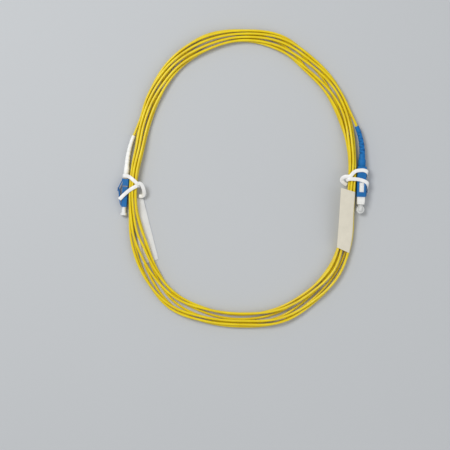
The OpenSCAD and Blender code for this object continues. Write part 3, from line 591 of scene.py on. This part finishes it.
def paper_finish(name, tone):
    """Matt label paper: felt-like fibres and faint soiling."""
    f = Finish(name, specular_ior_level=0.25)
    soil = ramp(f, f.noise(140, 4, 0.6), 0.35, 0.8)
    fibres = f.noise(1, 3, 0.6, f.stretched(900, 5200, 2600))
    shade = soil * 0.6 + fibres * 0.4
    f.feed("Base Color", f.between(shade, dimmed(tone, 0.86), tone))
    f.feed("Roughness", fibres * 0.15 + 0.72)
    f.bump(fibres, 0.00003, 0.7)
    return f.material


def metal_finish(name, tone, roughness, streaks=(300, 9000, 9000)):
    """Turned or drawn metal with fine tool lines."""
    f = Finish(name, metallic=1.0)
    lines = f.noise(1, 3, 0.6, f.stretched(*streaks))
    f.feed("Base Color", f.between(lines, dimmed(tone, 0.8), tone))
    f.feed("Roughness", lines * 0.2 + (roughness - 0.1))
    f.bump(lines, 0.00001, 0.5)
    return f.material


def ceramic_finish():
    """Ground and polished zirconia."""
    f = Finish("zirconia", ior=2.1, coat_weight=0.3)
    f.feed("Base Color", f.between(f.noise(1200, 2), (0.80, 0.78, 0.72), (0.88, 0.87, 0.83)))
    f.feed("Roughness", f.noise(1, 2, 0.5, f.stretched(6000, 800, 800)) * 0.12 + 0.12)
    return f.material


def yarn_finish():
    """Loose aramid strands."""
    f = Finish("aramid_yarn", specular_ior_level=0.4)
    strands = f.noise(1, 3, 0.6, f.stretched(12000, 700, 12000))
    f.feed("Base Color", f.between(strands, (0.50, 0.33, 0.06), (0.78, 0.60, 0.22)))
    f.feed("Roughness", strands * 0.2 + 0.5)
    f.bump(strands, 0.00008, 0.8)
    return f.material


# -------------------------------------------------------------------- pieces


class PATCHCORD_OT_cord(Operator):
    """Make the yellow cord in its loop"""

    bl_idname = "patchcord.cord"
    bl_label = "Cord"

    def execute(self, context):
        settings = context.scene.patchcord_cord
        route = Loop(settings.turn_gap / MM).route(settings.rings)
        curve = bpy.data.curves.new("cord_loop", "CURVE")
        curve.dimensions = "3D"
        spline = curve.splines.new("POLY")
        spline.points.add(len(route) - 1)
        for point, place in zip(spline.points, route):
            point.co = (*place, 1)
        curve.bevel_depth = settings.diameter / 2
        curve.bevel_resolution = settings.sides
        curve.use_fill_caps = True
        spline.use_smooth = True
        piece = bpy.data.objects.new("cord_loop", curve)
        context.scene.collection.objects.link(piece)
        stand_in(piece, "cord_coil", jacket_finish(settings), "jacket")
        total = sum((b - a).length for a, b in zip(route, route[1:]))
        tuple(LC_PLUG.tail * MM)
        return {"FINISHED"}


# radius of a boot's bore, round the cord
BORE_R = 1.05

# the boot behind the SC plug: its base, its taper and its slots, in
# millimetres behind the plug
SC_BASE_END = 5.6
SC_NECK_R = 2.6
SC_TAIL_R = 1.8
SC_SLOTS = 8
SC_SLOTS_START = 10.6
SC_SLOT_PITCH = 2.43
SC_SLOT_LENGTH = 0.42 * SC_SLOT_PITCH
# share of the wall that a slot cuts, and degrees that the boot is rolled
SC_SLOT_DEPTH = 0.65
SC_BOOT_ROLL = -30


def boot_inside(front, crimp_r):
    """The inside of a boot's outline: the cord's bore, and the wider room for the crimp."""
    steps = 12
    start, end = Plug.boot_straight + 0.3, Plug.boot_length
    bore = [(start + i * (end - start) / steps, BORE_R) for i in range(steps, -1, -1)]
    return [*bore, (Plug.boot_straight + 0.1, crimp_r), (front, crimp_r)]


def sc_boot_taper(s):
    """Radius of the boot behind the SC plug, s behind the plug."""
    share = (s - SC_BASE_END) / (Plug.boot_length - SC_BASE_END)
    return SC_NECK_R + (SC_TAIL_R - SC_NECK_R) * share


def sc_boot_outline():
    """Half section of the slotted boot behind the SC plug, as (x, radius)."""
    front, base_end, end = -1.8, SC_BASE_END, Plug.boot_length
    base_r, crimp_r = 3.1, 2.4
    corner, round_off, slope = 0.15, 0.12, 0.05
    taper = sc_boot_taper
    outline = [
        (front, base_r - corner),
        (front + corner, base_r),
        (base_end - 0.1, base_r),
        (base_end + 0.1, base_r - 0.08),
        (base_end + 0.5, SC_NECK_R + 0.04),
        (base_end + 0.8, taper(base_end + 0.8)),
    ]
    for i in range(SC_SLOTS):
        s = SC_SLOTS_START + i * SC_SLOT_PITCH
        slot_end = s + SC_SLOT_LENGTH
        depth = SC_SLOT_DEPTH * (taper(s) - BORE_R)
        outline += [
            (s - round_off, taper(s)),
            (s, taper(s) - round_off),
            (s + slope, taper(s) - depth),
            (slot_end - slope, taper(slot_end) - depth),
            (slot_end, taper(slot_end) - round_off),
            (slot_end + round_off, taper(slot_end)),
        ]
    outline += [(end - corner, SC_TAIL_R), (end, SC_TAIL_R - corner)]
    return [(-s, r) for s, r in outline + boot_inside(front, crimp_r)]


def lc_boot_outline():
    """Half section of the smooth boot behind the LC plug, as (x, radius)."""
    front, base_end, end = -2.0, 7.0, Plug.boot_length
    base_r, neck_r, tail_r, crimp_r = 2.3, 2.05, 1.5, 1.95
    grooves, groove_length, depth, steps = 7, 0.9, 0.18, 4
    pitch = (end - base_end - 3) / grooves

    def taper(s):
        return neck_r + (tail_r - neck_r) * (s - base_end) / (end - base_end)

    outline = [
        (front, base_r - 0.1),
        (front + 0.1, base_r),
        (base_end - 1, base_r),
        (base_end - 0.4, base_r - 0.06),
        (base_end, neck_r),
    ]
    for i in range(grooves):
        start = base_end + 2 + i * pitch
        for k in range(steps + 1):
            s = start + groove_length * k / steps
            outline.append((s, taper(s) - depth * math.sin(math.pi * k / steps)))
        ridge = start + 0.5 * pitch + groove_length / 2
        outline.append((ridge, taper(ridge)))
    outline += [(end - 0.3, tail_r), (end - 0.08, tail_r - 0.06), (end, tail_r - 0.2)]
    return [(-s, r) for s, r in outline + boot_inside(front, crimp_r)]


def fill_slot_sides(bm):
    """Leaves each slot of the SC boot open on two sides, and rolls the boot.

    The slots open by turns above and below, and left and right.
    """
    # half width of a filled side, as a share of the radius
    rail = 0.5
    # how far a filled side lies inside the taper, and how far before its slot
    # a point still belongs to it
    inset, margin = 0.04, 0.5
    wall_from = BORE_R + 0.05
    for v in bm.verts:
        s = -v.co.x / MM
        slot = math.floor((s - SC_SLOTS_START + margin) / SC_SLOT_PITCH)
        radius = math.hypot(v.co.y, v.co.z) / MM
        full = sc_boot_taper(s) - inset
        closed = v.co.z if slot % 2 else v.co.y
        in_slot = 0 <= slot < SC_SLOTS and wall_from < radius < full
        if in_slot and abs(closed) < rail * radius * MM:
            v.co.y *= full / radius
            v.co.z *= full / radius
    roll = Matrix.Rotation(math.radians(SC_BOOT_ROLL), 3, "X")
    bmesh.ops.rotate(bm, cent=(0, 0, 0), matrix=roll, verts=bm.verts)


class PATCHCORD_OT_boots(Operator):
    """Make the strain relief behind each plug"""

    bl_idname = "patchcord.boots"
    bl_label = "Boots"

    def execute(self, context):
        settings = context.scene.patchcord_plugs
        rows = [
            ("sc_boot", "sc_strain_relief", sc_boot_outline(), SC_PLUG, "blue_rubber", settings.blue),
            ("lc_boot", "lc_strain_relief", lc_boot_outline(), LC_PLUG, "white_rubber", settings.white),
        ]
        for node, name, outline, plug, slot_name, tone in rows:
            bm = turned(outline)
            if plug is SC_PLUG:
                fill_slot_sides(bm)
            bend_boot(bm, plug)
            finished(bm, name, node, rubber_finish(name + "_rubber", tuple(tone)), slot_name, 50)
        return {"FINISHED"}


class PATCHCORD_OT_housings(Operator):
    """Make the moulded housings, latch and trigger of both plugs"""

    bl_idname = "patchcord.housings"
    bl_label = "Housings"

    def execute(self, context):
        settings = context.scene.patchcord_plugs
        blue = moulded_finish("housing_blue", tuple(settings.blue), 0.30)
        white = moulded_finish("plug_frame_white", tuple(settings.white), 0.30)
        rows = [
            ("sc_outer_housing", "sc_grip_housing", blue, "blue_plastic", 1.0),
            ("sc_plug_frame", "sc_inner_frame", white, "white_plastic", 1.0),
            ("lc_front_body", "lc_body_shell", blue, "blue_plastic", 0.8),
            ("lc_latch", "lc_latch_arm", blue, "blue_plastic", 0.7),
            ("lc_rear_clip", "lc_trigger_collar", blue, "blue_plastic", 0.5),
            ("lc_trigger", "lc_latch_trigger", blue, "blue_plastic", 0.7),
        ]
        for node, name, finish, slot_name, share in rows:
            softened(node, name, finish, slot_name, share * settings.edge)
        return {"FINISHED"}


class PATCHCORD_OT_dust_caps(Operator):
    """Make the dust caps over both ferrules"""

    bl_idname = "patchcord.dust_caps"
    bl_label = "Dust caps"

    def execute(self, context):
        settings = context.scene.patchcord_plugs
        tone = tuple(settings.clear)
        frosted = cap_finish("sc_cap_frosted", tone, 0.4)
        milky = cap_finish("lc_cap_milky", tone, 0.12)
        softened("sc_dust_cap", "sc_cap", frosted, "clear_plastic", 1.6 * settings.edge, 3)
        softened("lc_dust_cap", "lc_cap", milky, "clear_plastic", settings.edge, 3)
        return {"FINISHED"}


# least height of a strip's middle line, in millimetres
UNDER = 0.2


def sc_tie_strips(top):
    """Strips of the tie beside the SC plug: whether each closes, and its points.

    A point is x and y from the base of the plug's boot, z, and the plan angle
    of the strip's width.
    """
    side = 4.65
    return [
        (True, [
            (-12.65, -9.5, 7, 90), (-11.65, -8.9, top - 0.6, 110), (-9.65, -7.8, top, 130),
            (-7.85, -5.6, top, 134), (-5.45, -3.9, top, 113), (-2.15, -3.2, top, 95),
            (1.45, -3.3, top, 80), (side - 0.4, -4.8, top - 0.8, 70), (side + 0.1, -6.7, 5, 80),
            (side - 0.2, -7.6, 1.2, 88), (side - 1.5, -8, UNDER, 90), (-3.95, -8.8, UNDER, 90),
            (-8.95, -9.4, UNDER, 90), (-12.05, -9.8, 0.7, 90), (-13.05, -9.7, 3.5, 90),
        ]),
        (False, [
            (-13.15, -11.5, 8.2, 100), (-11.95, -10.6, top - 0.5, 98), (-9.95, -10.4, top + 0.08, 92),
            (-7.05, -10.4, top, 90), (-3.55, -10.7, top, 86), (-0.35, -11.5, top, 76),
            (2.45, -12.6, top, 66), (side - 0.2, -14.3, top - 0.9, 60), (side + 0.4, -16.5, 6.6, 75),
            (side + 0.5, -18.9, 4, 88), (side + 0.1, -21.3, 2, 95),
        ]),
        (False, [
            (-9.65, -8.6, top - 0.1, 100), (-12.15, -8.3, top - 0.4, 95), (-14.55, -8.5, 9.2, 108),
            (-16.45, -9.7, 8.2, 145), (-16.85, -11.5, 7.2, 195), (-15.55, -13, 6.3, 228),
            (-13.85, -14.2, 5.4, 235), (-12.45, -15.1, 4.8, 235),
        ]),
    ]


def lc_tie_strips(top):
    """Strips of the tie beside the LC plug, as those beside the SC plug."""
    return [
        (True, [
            (11.2, -8.45, 6, 90), (10.8, -8.35, 8, 80), (9.7, -7.25, top - 0.35, 60),
            (8.2, -5.45, top, 48), (5.6, -3.15, top, 50), (3.5, -1.55, top - 0.85, 58),
            (1.4, -0.55, 7.4, 75), (-0.5, -0.25, 6.4, 90), (-2.1, -0.25, 5.6, 90),
            (-2.9, -0.35, 3.2, 90), (-2.2, -0.65, 1, 90), (-0.2, -1.25, UNDER, 75),
            (4.6, -3.65, UNDER, 65), (8.4, -6.05, UNDER, 65), (10.4, -7.45, 0.8, 75),
            (11.2, -8.15, 3.2, 90),
        ]),
        (False, [
            (10.9, -7.95, 7.6, 100), (9.4, -8.55, top - 0.35, 112), (7.6, -9.55, top, 119),
            (5.6, -10.65, top, 119), (3.6, -11.85, top - 0.5, 120), (1.6, -13.25, 8.1, 124),
            (-0.6, -15.05, 7, 128), (-2.5, -16.75, 6.5, 131), (-4, -18.25, 6.3, 134),
            (-5.4, -19.75, 6.2, 135),
        ]),
        (False, [
            (9.9, -6.85, top - 0.45, 95), (11.6, -6.65, top - 0.8, 78), (13.1, -7.75, 8.6, 42),
            (14.2, -9.95, 7.8, 22), (14.9, -12.55, 6.7, 8), (14.9, -14.85, 5.4, -12),
            (13.9, -16.65, 4.2, -48), (12.2, -17.15, 3.6, -88), (10.6, -16.75, 3.3, -105),
        ]),
    ]


def point_at(points, i, closed):
    """Point i, counted on round a closed line and held at the ends of an open one."""
    count = len(points)
    return points[i % count] if closed else points[min(count - 1, max(0, i))]


def smooth_path(points, closed, steps=7):
    """Smooth curve through points of any number of columns."""
    path = []
    for i in range(len(points) if closed else len(points) - 1):
        near = [point_at(points, i + k, closed) for k in (-1, 0, 1, 2)]
        for k in range(steps):
            path.append(tuple(smooth(*column, k / steps) for column in zip(*near)))
    return path if closed else path + [tuple(points[-1])]


def strip(plug, points, closed, width, thickness):
    """A bmesh of a flat strip with rounded edges."""
    path = smooth_path(points, closed)
    base = plug.base
    middle = [Vector((base.x + x, base.y + y, max(UNDER, z))) * MM for x, y, z, _ in path]
    round_off = 0.3 * thickness
    section = [
        (side * (width / 2 - a), rise * (thickness / 2 - b))
        for side, rise, a, b in (
            (1, 1, 0, round_off), (1, 1, round_off, 0), (-1, 1, round_off, 0), (-1, 1, 0, round_off),
            (-1, -1, 0, round_off), (-1, -1, round_off, 0), (1, -1, round_off, 0), (1, -1, 0, round_off),
        )
    ]
    rings = []
    for i, here in enumerate(middle):
        before, after = point_at(middle, i - 1, closed), point_at(middle, i + 1, closed)
        along = (after - before).normalized()
        angle = math.radians(path[i][3])
        across = Vector((math.cos(angle), math.sin(angle), 0))
        across = (across - across.dot(along) * along).normalized()
        out = along.cross(across)
        ring = [here + a * across + b * out for a, b in section]
        rings.append([Vector((p.x, p.y, max(0, p.z))) for p in ring])
    return swept(rings, closed)


class PATCHCORD_OT_ties(Operator):
    """Make the plastic strips tied round the loop"""

    bl_idname = "patchcord.ties"
    bl_label = "Ties"

    def execute(self, context):
        settings = context.scene.patchcord_ties
        finish = strip_finish(tuple(settings.strip))
        loop = Loop(context.scene.patchcord_cord.turn_gap / MM)
        clear, sc_plug_top = 0.3, 9.6
        rise = clear + settings.strip_thickness / MM / 2
        rows = [
            ("sc_tie", "sc_tie_strip", SC_PLUG, sc_tie_strips(max(sc_plug_top, loop.top(90)) + rise)),
            ("lc_tie", "lc_tie_strip", LC_PLUG, lc_tie_strips(loop.top(270) + rise)),
        ]
        for node, name, plug, strips in rows:
            whole = bmesh.new()
            for closed, points in strips:
                part = strip(plug, points, closed, settings.strip_width, settings.strip_thickness)
                mesh = bpy.data.meshes.new("part")
                part.to_mesh(mesh)
                part.free()
                whole.from_mesh(mesh)
                bpy.data.meshes.remove(mesh)
            finished(whole, name, node, finish, "tie_plastic", 60)
        return {"FINISHED"}


def flag_section(radius, reach, tilt, over, paper):
    """Half-open outline of a folded strip round the cord, as (towards the middle, up)."""
    steps, wrap = 22, 255
    fold = [math.radians(90 + wrap * i / steps) for i in range(steps + 1)]
    meeting = 1.5 * radius
    leaf = [meeting + (reach - radius - meeting) * k / 5 for k in range(5, -1, -1)]
    low = radius - 1.4 * paper
    section = [(x, radius) for x in (*leaf, 0.6 * meeting)]
    section += [(radius * math.cos(a), radius * math.sin(a)) for a in fold]
    section += [(1.17 * radius, 0.45 * low), (1.27 * radius, 0.85 * low)]
    section += [(x, low) for x in reversed(leaf)]
    c, s = math.cos(math.radians(tilt)), math.sin(math.radians(tilt))
    return [(x * c - y * s, over * (x * s + y * c)) for x, y in section]


# from which turn to which turn a flag goes; whether it lies over or under its
# cord's middle and how many degrees it tilts; how far it reaches at either end,
# as shares of the flags' width; and how far its ends lean along the cord
SC_FLAG = {"start": 0.456, "end": 0.535, "over": 1, "tilt": 20, "reach": (1.15, 1.05), "skew": -0.2}
LC_FLAG = {"start": 2.8264, "end": 2.9125, "over": -1, "tilt": 0, "reach": (1.1, 0.68), "skew": 0}


def flag(loop, rings, width, paper, start, end, over, tilt, reach, skew):
    """A bmesh of a paper strip folded round the cord, with a straight free edge."""
    clear = 0.2
    radius = (loop.cord_radius + clear) * MM
    inner = range(math.ceil(start * rings), math.floor(end * rings) + 1)
    half_step = 0.5 / rings
    places = []
    for t in (start, *(i / rings for i in inner), end):
        before, after = loop.on_route(t - half_step, rings), loop.on_route(t + half_step, rings)
        along = (after - before).normalized()
        side = along.cross(UP).normalized()
        places.append((loop.on_route(t, rings), side + skew * along, side.cross(along)))
    ends = zip(reach, (places[0], places[-1]))
    corners = [here + share * width * out for share, (here, out, _) in ends]
    normal = (corners[1] - corners[0]).cross(UP)
    rows = []
    for here, out, up in places:
        far = (corners[0] - here).dot(normal) / out.dot(normal)
        section = flag_section(radius, far, tilt, over, paper)
        rows.append([here + x * out + y * up for x, y in section])
    bm = bmesh.new()
    line = [bm.verts.new(p) for p in rows[0]]
    for row in rows[1:]:
        edges = [bm.edges.get(pair) or bm.edges.new(pair) for pair in zip(line, line[1:])]
        _, line = extruded(bm, edges, line, row)
    bmesh.ops.recalc_face_normals(bm, faces=bm.faces)
    bmesh.ops.solidify(bm, geom=bm.faces, thickness=paper)
    bmesh.ops.recalc_face_normals(bm, faces=bm.faces)
    return bm


class PATCHCORD_OT_flags(Operator):
    """Make the paper flags folded round the cord"""

    bl_idname = "patchcord.flags"
    bl_label = "Flags"

    def execute(self, context):
        settings = context.scene.patchcord_ties
        cord = context.scene.patchcord_cord
        loop = Loop(cord.turn_gap / MM)
        rows = [
            ("sc_flag", "sc_paper_flag", SC_FLAG, "paper_warm", settings.warm_paper),
            # the LC flag's greyer paper is partly painted shade
            ("lc_flag", "lc_paper_flag", LC_FLAG, "paper_grey", settings.grey_and_shade_paper),
        ]
        for node, name, layout, paper_name, tone in rows:
            bm = flag(loop, cord.rings, settings.flag_width, settings.paper, **layout)
            finished(bm, name, node, paper_finish(paper_name, tuple(tone)), paper_name, 60)
        return {"FINISHED"}


# where each spring begins and ends in front of its boot's base, the radius of
# its coils, the thickness of its wire and its number of coils, in millimetres
SC_SPRING = {"back": 17.05, "end": 26.65, "radius": 2.05, "wire": 0.6, "curls": 8}
LC_SPRING = {"back": 14.35, "end": 21.05, "radius": 1.245, "wire": 0.35, "curls": 6}


def coil_spring(back, end, radius, wire, curls):
    """A bmesh of a spring of round wire along X, in millimetres."""
    steps, sides = 24, 10
    rise = (end - back - wire) / curls
    slope = rise / (2 * math.pi)
    angles = [2 * math.pi * k / sides for k in range(sides)]
    rings = []
    for i in range(curls * steps + 1):
        b = 2 * math.pi * i / steps
        out = Vector((0, math.cos(b), math.sin(b)))
        along = Vector((slope, -radius * math.sin(b), radius * math.cos(b))).normalized()
        across = along.cross(out)
        middle = Vector((back + wire / 2 + rise * i / steps, 0, 0)) + radius * out
        ring = [middle + wire / 2 * (math.cos(a) * out + math.sin(a) * across) for a in angles]
        rings.append([point * MM for point in ring])
    return swept(rings)


class PATCHCORD_OT_springs(Operator):
    """Make the springs that push the ferrules forwards"""

    bl_idname = "patchcord.springs"
    bl_label = "Springs"

    def execute(self, context):
        steel = metal_finish("spring_wire", (0.55, 0.56, 0.58), 0.28, (6000, 600, 600))
        for side, plug, spring, travel in (("sc", SC_PLUG, SC_SPRING, 1.5), ("lc", LC_PLUG, LC_SPRING, 1.0)):
            bm = coil_spring(**spring)
            bmesh.ops.transform(bm, matrix=plug.matrix, verts=bm.verts)
            piece = finished(bm, side + "_ferrule_spring", side + "_spring", steel, "spring_steel", 60)
            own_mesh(piece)
        return {"FINISHED"}


class PATCHCORD_OT_inner_parts(Operator):
    """Give the parts inside the plugs and boots their finishes"""

    bl_idname = "patchcord.inner_parts"
    bl_label = "Inner parts"

    def execute(self, context):
        cord = context.scene.patchcord_cord
        steel = metal_finish("turned_steel", (0.62, 0.62, 0.63), 0.30)
        brass = metal_finish("turned_brass", (0.78, 0.60, 0.30), 0.28)
        sleeve = metal_finish("drawn_sleeve", (0.72, 0.73, 0.75), 0.34, (9000, 400, 9000))
        finishes = {
            "ferrule": ceramic_finish(),
            "ferrule_flange": steel,
            "crimp_sleeve": sleeve,
            "buffered_fibre": moulded_finish("fibre_buffer", (0.82, 0.80, 0.75), 0.42),
            "aramid_yarn": yarn_finish(),
            "jacket_end": jacket_finish(cord),
        }
        nodes = {f"{side}_{part}": finish for side in ("sc", "lc") for part, finish in finishes.items()}
        nodes.update(sc_stop_ring=brass, lc_backpost=brass)
        for node, finish in nodes.items():
            mesh = frame["nodes"][node].data
            mesh.materials.clear()
            mesh.materials.append(finish)
        return {"FINISHED"}


# --------------------------------------------------------------------- stage


class PATCHCORD_OT_stage(Operator):
    """Make the floor, the lamps and the camera"""

    bl_idname = "patchcord.stage"
    bl_label = "Stage"

    def execute(self, context):
        settings = context.scene.patchcord_stage
        scene = context.scene
        self.floor(settings)
        fill_share = 0.35
        self.lamp("key", (-0.55, 0.45, 1.1), settings.key_power, 0.5)
        self.lamp("fill", (0.8, -0.5, 0.9), fill_share * settings.key_power, 1.0)
        world = bpy.data.worlds.new("even_light")
        world.use_nodes = True
        background = world.node_tree.nodes["Background"].inputs
        background["Color"].default_value = (1, 1, 1, 1)
        background["Strength"].default_value = settings.world
        scene.world = world
        self.camera(settings)
        scene.view_settings.view_transform = "Standard"
        return {"FINISHED"}

    @staticmethod
    def floor(settings):
        """A pale floor, just under the table plane, that is evenly coloured."""
        below = 0.02 * MM
        bm = bmesh.new()
        bmesh.ops.create_grid(bm, x_segments=1, y_segments=1, size=3)
        mesh = bpy.data.meshes.new("floor")
        bm.to_mesh(mesh)
        bm.free()
        finish = Finish("floor_pale", specular_ior_level=0.2, roughness=0.8)
        tone = tuple(settings.floor)
        finish.feed("Base Color", finish.between(finish.noise(6, 3), dimmed(tone, 0.98), tone))
        mesh.materials.append(finish.material)
        floor = bpy.data.objects.new("floor", mesh)
        floor.location.z = -below
        bpy.context.scene.collection.objects.link(floor)

    @staticmethod
    def lamp(name, place, power, size):
        """A square soft lamp that points at the loop."""
        light = bpy.data.lights.new(name, "AREA")
        light.energy = power
        light.size = size
        lamp = bpy.data.objects.new(name, light)
        lamp.location = place
        lamp.rotation_euler = (-Vector(place)).to_track_quat("-Z", "Y").to_euler()
        bpy.context.scene.collection.objects.link(lamp)

    @staticmethod
    def camera(settings):
        """A camera that looks straight down on the loop."""
        centre = (-15.0 * MM, -24.65 * MM)
        bundle_height, sensor = 5 * MM, 36
        camera = bpy.data.cameras.new("camera")
        camera.sensor_width = sensor
        camera.lens = sensor * (settings.camera_height - bundle_height) / settings.view_width
        eye = bpy.data.objects.new("camera", camera)
        eye.location = (*centre, settings.camera_height)
        bpy.context.scene.collection.objects.link(eye)
        bpy.context.scene.camera = eye


# -------------------------------------------------------------------- add-on

SETTINGS = {
    "patchcord_cord": CordSettings,
    "patchcord_plugs": PlugSettings,
    "patchcord_ties": TieSettings,
    "patchcord_stage": StageSettings,
}
OPERATORS = (
    PATCHCORD_OT_stage,
    PATCHCORD_OT_cord,
    PATCHCORD_OT_boots,
    PATCHCORD_OT_housings,
    PATCHCORD_OT_dust_caps,
    PATCHCORD_OT_ties,
    PATCHCORD_OT_flags,
    PATCHCORD_OT_springs,
    PATCHCORD_OT_inner_parts,
)


class PATCHCORD_PT_sidebar(Panel):
    """Lists the pieces and their settings"""

    bl_idname = "PATCHCORD_PT_sidebar"
    bl_label = "Patch Cord"
    bl_space_type = "VIEW_3D"
    bl_region_type = "UI"
    bl_category = "Patch Cord"

    def draw(self, context):
        for name in SETTINGS:
            box = self.layout.box()
            group = getattr(context.scene, name)
            for key in group.bl_rna.properties.keys():
                if key not in ("rna_type", "name"):
                    box.prop(group, key)
        for operator in OPERATORS:
            self.layout.operator(operator.bl_idname)


def register():
    for cls in (*SETTINGS.values(), *OPERATORS, PATCHCORD_PT_sidebar):
        bpy.utils.register_class(cls)
    for name, cls in SETTINGS.items():
        setattr(bpy.types.Scene, name, PointerProperty(type=cls))


def unregister():
    for name in SETTINGS:
        delattr(bpy.types.Scene, name)
    for cls in reversed((*SETTINGS.values(), *OPERATORS, PATCHCORD_PT_sidebar)):
        bpy.utils.unregister_class(cls)


def main():
    register()
    for operator in OPERATORS:
        getattr(bpy.ops.patchcord, operator.bl_idname.split(".")[1])()


if __name__ == "__main__":
    main()
